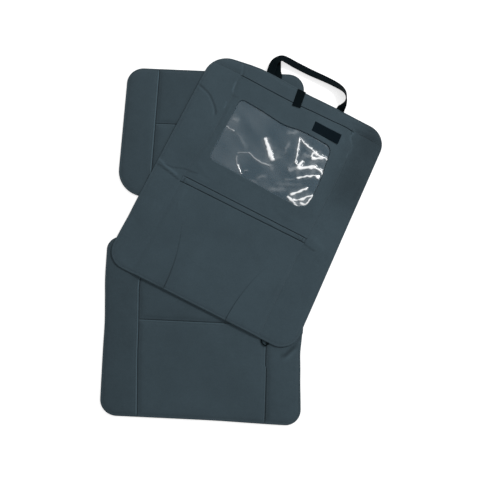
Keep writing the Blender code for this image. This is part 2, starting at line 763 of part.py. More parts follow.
def main():
    clear_scene()
    fabric = make_material("anthracite_fabric", (0.045, 0.067, 0.079), 0.85)
    lining = make_material("dotted_lining", (0.018, 0.020, 0.022), 0.95)
    film = make_material("clear_film", (0.35, 0.39, 0.41), 0.12, alpha=0.35)
    webbing = make_material("black_webbing", (0.006, 0.008, 0.009), 0.8)
    label_cloth = make_material("black_label", (0.007, 0.010, 0.014), 0.6)
    build_seat_cover(fabric, lining)
    build_tablet_cover(fabric, film, webbing, label_cloth)


main()
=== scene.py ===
"""The two sewn covers of a car seat protector, dressed in their cloths and set on a stage.

The seat cover lies on the ground and the tablet cover lies across it, turned. Metres, +Z up, in
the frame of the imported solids: the origin is the middle of the seat cover's underside.
"""

import json
import math

import bpy
import numpy as np
from bpy.props import FloatProperty, FloatVectorProperty, PointerProperty
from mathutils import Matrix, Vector
from mathutils.bvhtree import BVHTree

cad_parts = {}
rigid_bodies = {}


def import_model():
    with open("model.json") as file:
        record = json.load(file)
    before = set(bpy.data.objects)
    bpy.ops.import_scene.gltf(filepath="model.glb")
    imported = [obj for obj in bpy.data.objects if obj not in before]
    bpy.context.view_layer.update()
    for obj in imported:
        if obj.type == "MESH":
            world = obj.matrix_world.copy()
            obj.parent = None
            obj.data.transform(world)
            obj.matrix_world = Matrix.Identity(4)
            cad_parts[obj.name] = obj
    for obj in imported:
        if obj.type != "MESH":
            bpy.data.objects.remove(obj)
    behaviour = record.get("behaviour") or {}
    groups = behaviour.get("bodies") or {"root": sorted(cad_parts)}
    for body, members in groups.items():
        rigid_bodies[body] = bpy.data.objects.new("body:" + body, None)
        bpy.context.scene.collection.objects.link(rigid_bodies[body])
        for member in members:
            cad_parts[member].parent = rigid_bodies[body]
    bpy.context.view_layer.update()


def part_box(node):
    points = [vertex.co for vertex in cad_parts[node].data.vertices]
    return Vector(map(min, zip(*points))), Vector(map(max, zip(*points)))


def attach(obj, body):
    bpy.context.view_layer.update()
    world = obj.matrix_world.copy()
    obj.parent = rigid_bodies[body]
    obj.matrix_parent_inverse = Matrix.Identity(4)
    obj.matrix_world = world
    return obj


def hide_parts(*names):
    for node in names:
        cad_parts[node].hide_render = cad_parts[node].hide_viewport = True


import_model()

bl_info = {
    "name": "Car Seat Protector",
    "version": (1, 0, 0),
    "blender": (4, 5, 0),
    "location": "3D View > Sidebar > Seat Protector",
    "description": "Makes the sewn pieces of a two-part car seat protector and its stage",
    "category": "Object",
}

# Seat cover, as its solids are cut
SEAT_FRONT_Y = -0.4165
SEAT_REAR_Y = -0.0155
BACK_LOWER_Y = 0.0845
BACK_TOP_Y = 0.4165
LONG_SEAM_X = 0.145
FRONT_SEAM_Y = -0.2045
TOP_SEAM_Y = 0.2705
NECK_HALF = 0.13
HALF_GAP = 0.00015
LINING_TOP = 0.0012
PANEL_LOW = 0.0015
SEAT_PITCH = 0.0034
SEAT_STITCH_IN = 0.0046

# Tablet cover, in its own frame
COVER_PLACE = np.array((0.0947, 0.097))
COVER_ANGLE = math.radians(-24.0)
COVER_COSINE = math.cos(COVER_ANGLE)
COVER_SINE = math.sin(COVER_ANGLE)
COVER_BOTTOM_Y = -0.289
COVER_TOP_Y = 0.289
COVER_LIFT = 0.0055
COVER_OVERHANG = 0.004
COVER_FALL = 0.1
COVER_PITCH = 0.003
COVER_STITCH_IN = 0.005
FILM_PITCH = 0.0012
FACE_GAP = 0.0003
FACE_INSET = 0.0015
WINDOW_MIDDLE = (-0.0045, 0.118)
WINDOW_HALF = (0.1255, 0.086)
WINDOW_SLOPE = -0.055
WINDOW_RADIUS = 0.014
WINDOW_LAP = 0.008
STRAP_RIGHT = 0.103
STRAP_LEFT = -0.0948
STRAP_TAIL = -0.074
STRAP_RUN_Y = 0.3525
ELASTIC_RADIUS = 0.0013
WEBBING_THICKNESS = 0.0014
LABEL_PLACE = (0.0965, 0.2246)
LABEL_SIZE = (0.0713, 0.0256)
LABEL_SLOPE = -0.032
MOUTH_SLIT = 0.0008
HEM_SLIT = 0.0006
HEM_SIDES = (-0.164, 0.1625)
LOWER_POCKET_SIDES = (-0.1635, 0.166)

# Direction of the painted light: the side from which a seam's lip and a fold's flank are painted
# lighter
LIGHT = np.array((0.9, 0.43))

# Faces that meet at more than this angle keep a sharp edge
SHARP_ANGLE = math.radians(48)

# Distances in from a rim at which a sewn piece has its closest rows
RIM_ROWS = np.array((0.0, 0.0005, 0.0012, 0.0022, 0.0036, 0.0055, 0.008, 0.0115))


# Curves and outlines

def trail(*millimetres):
    """Points (x, y) in metres from a run of millimetres."""
    return np.reshape(millimetres, (-1, 2)) / 1000


def lengths_along(line):
    """How far each point of a line is from its start, along it."""
    steps = np.linalg.norm(np.diff(line, axis=0), axis=1)
    return np.concatenate(((0.0,), np.cumsum(steps)))


def directions(line):
    """Unit vectors along a line at its points."""
    along = np.gradient(np.asarray(line, float), axis=0)
    return along / np.linalg.norm(along, axis=1)[:, None]


def smooth_path(stations, step):
    """Catmull-Rom curve through stations of any number of values, read about every step."""
    stations = np.asarray(stations, float)
    ends = np.vstack((2 * stations[0] - stations[1], stations, 2 * stations[-1] - stations[-2]))
    samples = []
    for i in range(1, len(ends) - 2):
        p0, p1, p2, p3 = ends[i - 1:i + 3]
        parts = max(1, round(np.linalg.norm(p2[:3] - p1[:3]) / step))
        t = np.arange(parts)[:, None] / parts
        samples.append(
            0.5 * (2 * p1 + (p2 - p0) * t + (2 * p0 - 5 * p1 + 4 * p2 - p3) * t ** 2
                   + (3 * p1 - p0 - 3 * p2 + p3) * t ** 3)
        )
    samples.append(stations[-1:])
    return np.concatenate(samples)


def filleted(corners, step=math.radians(6.0)):
    """Closed outline through (x, y, radius) corners, anticlockwise, each rounded by an arc."""
    points = []
    for i, (x, y, radius) in enumerate(corners):
        corner = np.array((x, y))
        before = np.array(corners[i - 1][:2]) - corner
        after = np.array(corners[(i + 1) % len(corners)][:2]) - corner
        before /= np.linalg.norm(before)
        after /= np.linalg.norm(after)
        opening = math.acos(np.clip(before @ after, -1, 1))
        turn = math.pi - opening
        centre = corner + (before + after) / np.linalg.norm(before + after) * (
            radius / math.sin(opening / 2)
        )
        start = corner + before * radius * math.tan(turn / 2) - centre
        side = math.copysign(1.0, before[1] * after[0] - before[0] * after[1])
        angles = side * np.linspace(0, turn, max(2, round(turn / step)) + 1)
        cosine, sine = np.cos(angles), np.sin(angles)
        points.append(centre + np.column_stack(
            (start[0] * cosine - start[1] * sine, start[0] * sine + start[1] * cosine)
        ))
    return tidied(np.concatenate(points))


def tidied(outline, least=0.00005):
    """The outline without points that repeat the one before."""
    steps = np.linalg.norm(outline - np.roll(outline, 1, axis=0), axis=1)
    return outline[steps > least]


def cut(outline, normal, limit):
    """The part of an outline on the side where point . normal is at most limit."""
    normal = np.array(normal, float)
    kept = []
    for before, here in zip(np.roll(outline, 1, axis=0), outline):
        past_before = before @ normal - limit
        past_here = here @ normal - limit
        if past_before * past_here < 0:
            kept.append(before + past_before / (past_before - past_here) * (here - before))
        if past_here <= 0:
            kept.append(here)
    return tidied(np.array(kept))


def resampled(line, shares):
    """Points of an open line at shares of its length."""
    lengths = lengths_along(line)
    places = np.asarray(shares) * lengths[-1]
    return np.stack([np.interp(places, lengths, line[:, i]) for i in range(line.shape[1])], -1)


def closed(outline):
    """The outline with its first point again at its end."""
    return np.vstack((outline, outline[:1]))


def four_sides(outline):
    """An anticlockwise outline split where it is closest to the corners of its own box.

    Gives the lower side, the right, the upper and the left, the first and third from left to
    right and the others upwards.
    """
    low, high = outline.min(axis=0), outline.max(axis=0)
    corners = np.array(((low[0], low[1]), (high[0], low[1]), (high[0], high[1]), (low[0], high[1])))
    at = [int(np.argmin(np.linalg.norm(outline - corner, axis=1))) for corner in corners]
    sides = []
    for start, end in zip(at, at[1:] + at[:1]):
        stop = end if end > start else end + len(outline)
        sides.append(outline[np.arange(start, stop + 1) % len(outline)])
    lower, right, upper, left = sides
    return lower, right, upper[::-1], left[::-1]


def spaced(length, pitch, rim=RIM_ROWS, extra=()):
    """Shares of a length: the rim rows at both ends, equal steps between, and any extra ones."""
    inner = rim[-1]
    steps = max(2, math.ceil((length - 2 * inner) / pitch))
    middle = np.linspace(inner, length - inner, steps + 1)
    places = np.concatenate((rim[:-1], middle, length - rim[:-1][::-1]))
    return np.unique(np.round(np.concatenate((places / length, np.asarray(extra, float))), 7))


def patch(outline, across, up):
    """Coons patch: the sum of the two ruled surfaces between opposite sides, less the one
    between the four corners, at shares across and up."""
    lower, right, upper, left = four_sides(outline)
    low, high = resampled(lower, across)[None], resampled(upper, across)[None]
    near, far = resampled(left, up)[:, None], resampled(right, up)[:, None]
    u, v = across[None, :, None], up[:, None, None]
    corners = ((1 - u) * (1 - v) * lower[0] + u * (1 - v) * lower[-1]
               + (1 - u) * v * upper[0] + u * v * upper[-1])
    return (1 - v) * low + v * high + (1 - u) * near + u * far - corners


def inside_depth(x, y, outline):
    """Distance of points from an outline, positive inside it and negative outside."""
    shape = np.shape(x)
    points = np.column_stack((np.ravel(x), np.ravel(y)))
    start = outline
    along = np.roll(start, -1, axis=0) - start
    depth = np.empty(len(points))
    for first in range(0, len(points), 8192):
        some = points[first:first + 8192]
        gap_x = some[:, :1] - start[:, 0]
        gap_y = some[:, 1:] - start[:, 1]
        share = (gap_x * along[:, 0] + gap_y * along[:, 1]) / (along * along).sum(-1)
        share = np.clip(share, 0, 1)
        nearest = np.hypot(gap_x - share * along[:, 0], gap_y - share * along[:, 1]).min(axis=1)
        rise = np.where(along[:, 1] == 0, 1.0, along[:, 1])
        crosses = (gap_y < 0) != (gap_y < along[:, 1])
        inside = (crosses & (gap_x < gap_y / rise * along[:, 0])).sum(axis=1) % 2 == 1
        depth[first:first + 8192] = np.where(inside, nearest, -nearest)
    return depth.reshape(shape)


def bent(stations):
    """A smooth function through (place, value) stations, level past both ends."""
    path = smooth_path(stations, 0.004)
    return lambda x: np.interp(x, path[:, 0], path[:, 1])


def seat_outline():
    """Outline of the seat cover: two rounded parts joined by a narrower neck."""
    fillet = LONG_SEAM_X - NECK_HALF
    right = (
        (0.222, SEAT_FRONT_Y, 0.036), (0.235, SEAT_REAR_Y, 0.03),
        (NECK_HALF, SEAT_REAR_Y, fillet), (NECK_HALF, BACK_LOWER_Y, fillet),
        (0.2175, BACK_LOWER_Y, 0.066), (0.2175, BACK_TOP_Y, 0.04),
    )
    left = [(-x - (0.006 if y > 0 and x > 0.2 else 0.0), y, r) for x, y, r in reversed(right)]
    return filleted(list(right) + left)


# How far the seat cover's edges and long seams stray sideways as it lies, by place across it
SEAT_STRAYS = (
    (-0.235, bent(trail(-410, 5.4, -270, 5.6, -215, 5.8, -160, 3, -106, 0, -10, 0, 420, 0))),
    (-LONG_SEAM_X, bent(trail(-417, 12.5, -342, 7, -281, 2.4, -230, 0, -159, -4.8, -120, -6.2,
                              -20, 0, 420, 0))),
    (LONG_SEAM_X, bent(trail(-417, 3, -300, 2.2, -250, 0, 420, 0))),
    (0.235, bent(trail(-417, 6.2, -390, 4.3, -357.5, 1.8, -324.7, -0.8, -292, -2.4, -262, -4.2,
                       -226, -2.2, -150, 0, 420, 0))),
)


def strayed(x, y):
    """Points of the seat cover where they lie: between two of the straying lines the cloth
    moves by a mix of both, and its lower right corner is drawn down."""
    places = [place for place, _ in SEAT_STRAYS]
    moved = x + sum(np.interp(x, places, np.eye(len(places))[i]) * stray(y)
                    for i, (_, stray) in enumerate(SEAT_STRAYS))
    return np.stack((moved, y - 0.003 * eased(x, 0.0, 0.2) * eased(-y, 0.25, 0.4)), -1)


def cover_outline():
    """Outline of the tablet cover, a little askew and crowned off centre at the top."""
    return filleted((
        (-0.233, COVER_BOTTOM_Y, 0.046), (0.2465, COVER_BOTTOM_Y, 0.046),
        (0.233, COVER_TOP_Y, 0.052), (0.09, COVER_TOP_Y + 0.0077, 0.2),
        (0.018, COVER_TOP_Y + 0.0071, 0.2), (-0.12, COVER_TOP_Y + 0.019, 0.3),
        (-0.245, COVER_TOP_Y + 0.005, 0.058),
    ))


# How far the window's upper edge strays from its straight line
window_stray = bent(trail(-150, 0, -130, -0.6, -105, -1.2, -75, -2.4, -50, -4.6, -26, -7,
                          -4, -7.8, 12, -5.8, 30, -2.4, 50, -0.4, 75, 0, 135, 0))
# How far its right side bulges, by the height from its middle
window_bulge = bent(trail(-95, 0, -86, 0.4, -82, 3, -71, 10, -51, 13.2, -19, 13.3, 9, 11.9,
                          30, 9.2, 53, 6.2, 73, 4, 86, 1, 95, 0))


def window_outline(margin):
    """Sheared rounded outline of the window, larger on every side by a margin, with a slack
    upper edge."""
    across, up, radius = WINDOW_HALF[0] + margin, WINDOW_HALF[1] + margin, WINDOW_RADIUS + margin
    outline = filleted(((-across, -up, radius), (across, -up, radius),
                        (across, up, radius), (-across, up, radius)))
    x, y = resampled(closed(outline), np.linspace(0, 1, 361)[:-1]).T
    slack = window_stray(WINDOW_MIDDLE[0] + x) * eased(y, 0.0, WINDOW_HALF[1])
    x = x + window_bulge(y) * eased(x, 0.05, WINDOW_HALF[0])
    return np.column_stack((WINDOW_MIDDLE[0] + x, WINDOW_MIDDLE[1] + WINDOW_SLOPE * x + y + slack))


SEAT_OUTLINE = seat_outline()
COVER_OUTLINE = cover_outline()


def placed(x, y):
    """Points of the tablet cover's own frame, set where the cover lies."""
    return np.stack((COVER_PLACE[0] + x * COVER_COSINE - y * COVER_SINE,
                     COVER_PLACE[1] + x * COVER_SINE + y * COVER_COSINE), -1)


def in_cover_frame(x, y):
    """Points of the shared frame, read in the tablet cover's own frame."""
    x, y = x - COVER_PLACE[0], y - COVER_PLACE[1]
    return np.stack((x * COVER_COSINE + y * COVER_SINE, y * COVER_COSINE - x * COVER_SINE), -1)


# Lines of the tablet cover's pockets, as they lie when the cloth is slack
mouth_y = bent(trail(-245, 268, -211, 267.2, -152, 266.2, -74, 261.2, -9, 258.5, 64, 258.8,
                     127, 260, 151, 257.5, 204, 254, 245, 251.5))
pocket_left_x = bent(trail(-40, -165, 4, -164.8, 27, -162.5, 104, -153.5, 184, -155, 211, -154.5,
                           238, -159.5, 270, -162))
pocket_right_x = bent(trail(-40, 166, 6, 168.5, 64, 169.5, 142, 171.5, 221, 166.5, 248, 157,
                            270, 155))


def hem_top_y(x):
    return -0.0315 - 0.0217 * x


def hem_low_y(x):
    return -0.045 - 0.0122 * x


def pleat_x(y):
    """How far a pleat stands from the middle line: it spreads as the square of the height."""
    return 0.08 + 0.07 * ((y - COVER_BOTTOM_Y) / 0.23) ** 2


# Folds, ripples and rims

def eased(value, start, end):
    """A smooth step from 0 at start to 1 at end."""
    t = np.clip((value - start) / (end - start), 0, 1)
    return t * t * (3 - 2 * t)


def bell(value, width, middle=0.0):
    """1 at the middle and falling off on both sides, as exp(-(distance / width) ** 2)."""
    return np.exp(-((value - middle) / width) ** 2)


def beside(x, y, path):
    """Distance from a curved path, its side, and the share of its length at the nearest place."""
    path = smooth_path(np.asarray(path, float), 0.004)
    run = np.diff(path, axis=0)
    length = np.linalg.norm(run, axis=1)
    before = np.concatenate(((0.0,), np.cumsum(length)[:-1]))
    best = np.full(np.shape(x), np.inf)
    side = np.zeros(np.shape(x))
    share = np.zeros(np.shape(x))
    for start, step, size, past in zip(path, run, length, before):
        gap_x, gap_y = x - start[0], y - start[1]
        t = np.clip((gap_x * step[0] + gap_y * step[1]) / size ** 2, 0, 1)
        distance = np.hypot(gap_x - t * step[0], gap_y - t * step[1])
        nearer = distance < best
        best = np.where(nearer, distance, best)
        side = np.where(nearer, np.sign(step[0] * gap_y - step[1] * gap_x), side)
        share = np.where(nearer, (past + t * size) / length.sum(), share)
    return best, side, share


def ridge(x, y, path, width, height, skew=0.0):
    """A fold along a path: a bell of the given half width across it, which dies away at both
    ends, and is steeper on one side where it is skewed."""
    distance, side, share = beside(x, y, path)
    reach = width * (1 + skew * side)
    ends = np.clip(np.minimum(share, 1 - share) / 0.25, 0, 1)
    return height * bell(distance, reach) * ends * ends * (3 - 2 * ends)


def folds(x, y, lines):
    """The sum of several ridges, each given as path, width, height and skew."""
    return sum((ridge(x, y, *line[:4]) for line in lines), np.zeros(np.shape(x)))


def painted_crease_light(x, y, lines):
    """Painted light and shade of creases: a line's fifth number along its middle, and its sixth
    on the left flank with its negative on the right one, half a width out."""
    tone = np.zeros(np.shape(x))
    for path, width, _, _, *tones in lines:
        if tones:
            distance, side, share = beside(x, y, path)
            ends = eased(np.minimum(share, 1 - share), 0.0, 0.12)
            near = bell(distance, width)
            slant = side * distance / width * 2.3 * near
            tone += ends * (tones[0] * near + (tones[1] if len(tones) > 1 else 0.0) * slant)
    return tone


def ripples(x, y, seed, shortest, longest, count=14):
    """Soft unevenness from -1 to 1: plane waves of seeded directions, lengths and phases."""
    dice = np.random.default_rng(seed)
    angles = dice.uniform(0, math.pi, count)
    lengths = np.exp(dice.uniform(math.log(shortest), math.log(longest), count))
    phases = dice.uniform(0, 2 * math.pi, count)
    total = np.zeros(np.shape(x))
    for angle, length, phase in zip(angles, lengths, phases):
        travel = x * math.cos(angle) + y * math.sin(angle)
        total += np.sin(2 * math.pi * travel / length + phase) * (length / longest) ** 0.5
    return total / (0.9 * math.sqrt(count))


def puckers(depth, place, seed, reach=0.012, wavelength=0.013):
    """Small gathers that a seam draws in the cloth beside it: waves along the seam, of uneven
    length, which fade with distance from the rim."""
    dice = np.random.default_rng(seed)
    phase = dice.uniform(0, 2 * math.pi, 3)
    wave = (np.sin(2 * math.pi * place / wavelength + phase[0])
            * (0.6 + 0.4 * np.sin(2 * math.pi * place / (wavelength * 5.3) + phase[1]))
            + 0.5 * np.sin(2 * math.pi * place / (wavelength * 1.7) + phase[2]))
    near = np.exp(-np.maximum(depth, 0) / reach) * eased(depth, 0.0005, 0.004)
    return wave * near


def rim_height(depth, start=0.38, round_reach=0.0026, soft_reach=0.013, soft_share=0.22):
    """Share of a padded thickness at a depth from the rim: a quarter round, then a soft rise."""
    near = np.clip(depth / round_reach, 0, 1)
    quarter = np.sqrt(1 - (1 - near) ** 2)
    return start + (1 - start - soft_share) * quarter + soft_share * eased(depth, 0, soft_reach)


def facing(x, y, outline, reach=0.0004):
    """How far the rim nearest to each point turns to the light, from -1 to 1: the fall of the
    depth towards the light."""
    shift = reach * LIGHT
    fall = (inside_depth(x - shift[0], y - shift[1], outline)
            - inside_depth(x + shift[0], y + shift[1], outline))
    return np.clip(fall / (2 * reach), -1, 1)


def groove(depth, at, width):
    """A bell-shaped dip of depth 1 that follows a rim at a distance."""
    return -bell(depth, width, at)


def draped(x, y):
    """Resting height of the tablet cover in its own frame: held up on the seat cover, and down
    to the ground along an S-curve past its edge."""
    there = placed(x, y)
    past = (-inside_depth(there[..., 0], there[..., 1], SEAT_OUTLINE) - COVER_OVERHANG)
    return COVER_LIFT * (1 - eased(past / COVER_FALL, 0, 1))


def lay(x, y):
    """Underside of the tablet cover: its drape, with slack ripples that only lift it."""
    return draped(x, y) + 0.00045 * np.maximum(1 + ripples(x, y, 5, 0.06, 0.21), 0)


# Meshes

def quads(index):
    """The faces between the rows and columns of a grid of vertex numbers."""
    faces = np.stack((index[:-1, :-1], index[:-1, 1:], index[1:, 1:], index[1:, :-1]), -1)
    return faces.reshape(-1, 4)


def mesh_object(name, points, faces, uv=None, marks=None):
    """A mesh from whole arrays: points, a list of face arrays, a UV and numbers for each point."""
    mesh = bpy.data.meshes.new(name)
    corners = np.concatenate([face.ravel() for face in faces]).astype(np.int32)
    sizes = np.concatenate([np.full(len(face), face.shape[1]) for face in faces])
    starts = np.concatenate(((0,), np.cumsum(sizes)[:-1])).astype(np.int32)
    mesh.vertices.add(len(points))
    mesh.vertices.foreach_set("co", np.asarray(points, np.float32).ravel())
    mesh.loops.add(len(corners))
    mesh.loops.foreach_set("vertex_index", corners)
    mesh.polygons.add(len(sizes))
    mesh.polygons.foreach_set("loop_start", starts)
    mesh.update(calc_edges=True)
    if uv is not None:
        layer = mesh.uv_layers.new(name="UVMap")
        layer.data.foreach_set("uv", np.asarray(uv, np.float32)[corners].ravel())
    for mark, values in (marks or {}).items():
        attribute = mesh.attributes.new(mark, "FLOAT", "POINT")
        attribute.data.foreach_set("value", np.asarray(values, np.float32).ravel())
    mesh.validate()
    mesh.shade_smooth()
    mesh.set_sharp_from_angle(angle=SHARP_ANGLE)
    made = bpy.data.objects.new(name, mesh)
    bpy.context.scene.collection.objects.link(made)
    return made


def cloth_piece(name, plan, low, high, shade=None, ring=False):
    """A closed piece of cloth: an upper and a lower sheet over one grid of the plan, joined
    round their rims. A ring joins its last column to its first."""
    count = low.size
    points = np.concatenate((np.dstack((plan, high)).reshape(-1, 3),
                             np.dstack((plan, low)).reshape(-1, 3)))
    index = np.arange(count).reshape(low.shape)
    if ring:
        index = np.column_stack((index, index[:, :1]))
        rims = (index[0], index[-1, ::-1])
    else:
        rims = (index[0], index[:, -1], index[-1, ::-1], index[::-1, 0])
    upper = quads(index)
    walls = [np.stack((rim[1:], rim[:-1], rim[:-1] + count, rim[1:] + count), -1) for rim in rims]
    shade = np.zeros(low.shape) if shade is None else shade
    marks = {"shade": np.concatenate((shade.ravel(), np.zeros(count)))}
    return mesh_object(name, points, [upper, upper[:, ::-1] + count, *walls], marks=marks)


def carried(path, across, through, section):
    """Points of a closed section (u, v) carried along a path on its two cross vectors."""
    return (path[:, None] + section[None, :, :1] * across[:, None]
            + section[None, :, 1:2] * through[:, None])


def tube(name, rings, uv):
    """A closed solid from rings of points, one after another, with a flat cap on each end."""
    rows, columns = rings.shape[:2]
    index = np.arange(rows * columns).reshape(rows, columns)
    index = np.column_stack((index, index[:, 0]))
    caps = [index[:1, -2::-1], index[-1:, :-1]]
    return mesh_object(name, rings.reshape(-1, 3), [quads(index), *caps], uv=uv)


def top_of(objects):
    """A function that gives the upper surface's height over points, by rays from above."""
    points, faces = [], []
    for thing in objects:
        mesh = thing.data
        co = np.empty(len(mesh.vertices) * 3, np.float32)
        mesh.vertices.foreach_get("co", co)
        first = len(points)
        points.extend(map(tuple, co.reshape(-1, 3)))
        faces.extend([tuple(v + first for v in face.vertices) for face in mesh.polygons])
    tree = BVHTree.FromPolygons(points, faces)

    def height(places):
        hits = [tree.ray_cast((x, y, 0.2), (0, 0, -1))[0] for x, y in places]
        return np.array([hit.z if hit else np.nan for hit in hits])
    return height


def stitched(name, lines, height, length=0.003, pitch=0.0038, thread=0.00055):
    """Rows of stitches along lines in the plan.

    One stitch is a spindle: three rings of six points between two poles. It is repeated at
    equal steps along each line, turned to its direction and laid on the surface.
    """
    centres, turns = [], []
    for line in lines:
        line = np.asarray(line, float)
        total = np.linalg.norm(np.diff(line, axis=0), axis=1).sum()
        count = max(1, int(total / pitch))
        shares = (np.arange(count) + 0.5) / count
        reach = 0.35 * length / total
        ahead = resampled(line, np.clip(shares + reach, 0, 1))
        behind = resampled(line, np.clip(shares - reach, 0, 1))
        centres.append((ahead + behind) / 2)
        turns.append(np.arctan2(*(ahead - behind).T[::-1]))
    centres, turns = np.concatenate(centres), np.concatenate(turns)
    level = height(centres)
    known = ~np.isnan(level)
    centres, turns, level = centres[known], turns[known], level[known]

    around = np.linspace(0, 2 * math.pi, 6, endpoint=False)
    rings = [(-0.34, 0.78), (0.0, 1.0), (0.34, 0.78)]
    local = [(-length / 2, 0.0, -thread / 2)]
    for place, size in rings:
        local.extend(
            (place * length, size * thread / 2 * math.cos(a), size * thread / 2 * math.sin(a))
            for a in around
        )
    local.append((length / 2, 0.0, -thread / 2))
    local = np.array(local)
    cosine, sine = np.cos(turns)[:, None], np.sin(turns)[:, None]
    x = centres[:, :1] + local[:, 0] * cosine - local[:, 1] * sine
    y = centres[:, 1:] + local[:, 0] * sine + local[:, 1] * cosine
    z = level[:, None] + 0.12 * thread + local[:, 2]
    points = np.stack((x, y, z), -1).reshape(-1, 3)

    k = np.arange(6)
    after = (k + 1) % 6
    start = np.column_stack((np.zeros(6, int), 1 + after, 1 + k))
    end = np.column_stack((np.full(6, 19), 13 + k, 13 + after))
    side = np.concatenate([
        np.column_stack((first + k, first + after, first + 6 + after, first + 6 + k))
        for first in (1, 7)
    ])
    shift = (np.arange(len(centres)) * 20)[:, None, None]
    return mesh_object(name, points, [(start + shift).reshape(-1, 3), (end + shift).reshape(-1, 3),
                                      (side + shift).reshape(-1, 4)])


# Padding

def spline_weights(shares, count):
    """Weights of the cubic B-spline through count equal steps, one row for each share."""
    gap = np.abs(shares[:, None] * (count - 1) - np.arange(count))
    weights = np.where(gap < 1, (4 - 6 * gap ** 2 + 3 * gap ** 3) / 6,
                       np.clip(2 - gap, 0, 1) ** 3 / 6)
    return weights / weights.sum(axis=1, keepdims=True)


def panel_grid(outline, pitch, extra=()):
    """A padded panel's grid: its shares across and up, its x and y, and depths inside the rim."""
    width, length = np.ptp(outline, axis=0)
    across, up = spaced(width, pitch), spaced(length, pitch, extra=extra)
    plan = patch(outline, across, up)
    x, y = plan[..., 0], plan[..., 1]
    depth = inside_depth(x, y, outline)
    depth[[0, -1]] = 0
    depth[:, [0, -1]] = 0
    return across, up, x, y, depth


def swollen(outline, across, up, limit, pitch=0.008):
    """Rise of a padded face, from a cloth simulation of the panel as a flat sewn pillow.

    The pillow's two faces share a pinned rim and swell under pressure. The upper face's rise is
    capped, and a B-spline over the simulated grid gives it at the finer grid's shares.
    """
    size = np.ptp(outline, axis=0)
    columns, rows = (max(8, round(side / pitch)) for side in size)
    plan = patch(outline, np.linspace(0, 1, columns), np.linspace(0, 1, rows))
    x, y = plan[..., 0], plan[..., 1]
    rise = 0.0006 * (1 + ripples(x, y, 11, 0.03, 0.12))
    index = np.arange(rows * columns).reshape(rows, columns)
    under = index + index.size
    rim = np.ones(index.shape, bool)
    rim[1:-1, 1:-1] = False
    rise[rim] = 0
    under[rim] = index[rim]
    lower = np.stack((under[:-1, :-1], under[1:, :-1], under[1:, 1:], under[:-1, 1:]), -1)
    points = np.concatenate((np.dstack((plan, rise)).reshape(-1, 3),
                             np.dstack((plan, -rise)).reshape(-1, 3)))
    pillow = mesh_object("pillow", points, [quads(index), lower.reshape(-1, 4)])
    pinned = pillow.vertex_groups.new(name="rim")
    pinned.add([int(i) for i in index[rim]], 1.0, "REPLACE")
    cloth = pillow.modifiers.new("Cloth", "CLOTH")
    tuning = cloth.settings
    tuning.quality = 4
    tuning.mass = 0.25
    tuning.tension_stiffness = 25
    tuning.compression_stiffness = 25
    tuning.shear_stiffness = 10
    tuning.bending_stiffness = 0.6
    tuning.vertex_group_mass = "rim"
    tuning.shrink_min = -0.012
    tuning.use_pressure = True
    tuning.uniform_pressure_force = 4.0
    tuning.effector_weights.gravity = 0
    cloth.collision_settings.use_collision = False
    cloth.point_cache.frame_start = 1
    cloth.point_cache.frame_end = 20
    for step in range(1, 21):
        bpy.context.scene.frame_set(step)
    graph = bpy.context.evaluated_depsgraph_get()
    shaped = pillow.evaluated_get(graph)
    co = np.empty(len(points) * 3, np.float32)
    shaped.data.vertices.foreach_get("co", co)
    grid = co.reshape(-1, 3)[:index.size, 2].reshape(index.shape).astype(float)
    bpy.data.objects.remove(pillow)
    bpy.context.scene.frame_set(1)
    capped = limit * np.tanh(np.maximum(grid, 0) / (4 * limit))
    return spline_weights(up, rows) @ capped @ spline_weights(across, columns).T


# Shader maths

class Signal:
    """A number that runs between shader nodes, so that maths on it reads as an expression."""

    def __init__(self, finish, socket):
        self.finish = finish
        self.socket = socket

    def maths(self, operation, *values):
        node = self.finish.node("ShaderNodeMath", {"operation": operation},
                                dict(enumerate(values)))
        return Signal(self.finish, node.outputs[0])

    def __rsub__(self, other):
        return self.maths("SUBTRACT", other, self)

    def clamp(self):
        node = self.finish.node("ShaderNodeClamp", {}, {"Value": self})
        return Signal(self.finish, node.outputs[0])


for method, operation in {
        "__add__": "ADD", "__radd__": "ADD", "__sub__": "SUBTRACT", "__mul__": "MULTIPLY",
        "__rmul__": "MULTIPLY", "wave": "SINE", "arch": "COSINE", "whole": "FLOOR",
        "part": "FRACT", "root": "SQRT", "size": "ABSOLUTE"}.items():
    setattr(Signal, method, lambda self, *others, operation=operation:
            self.maths(operation, self, *others))


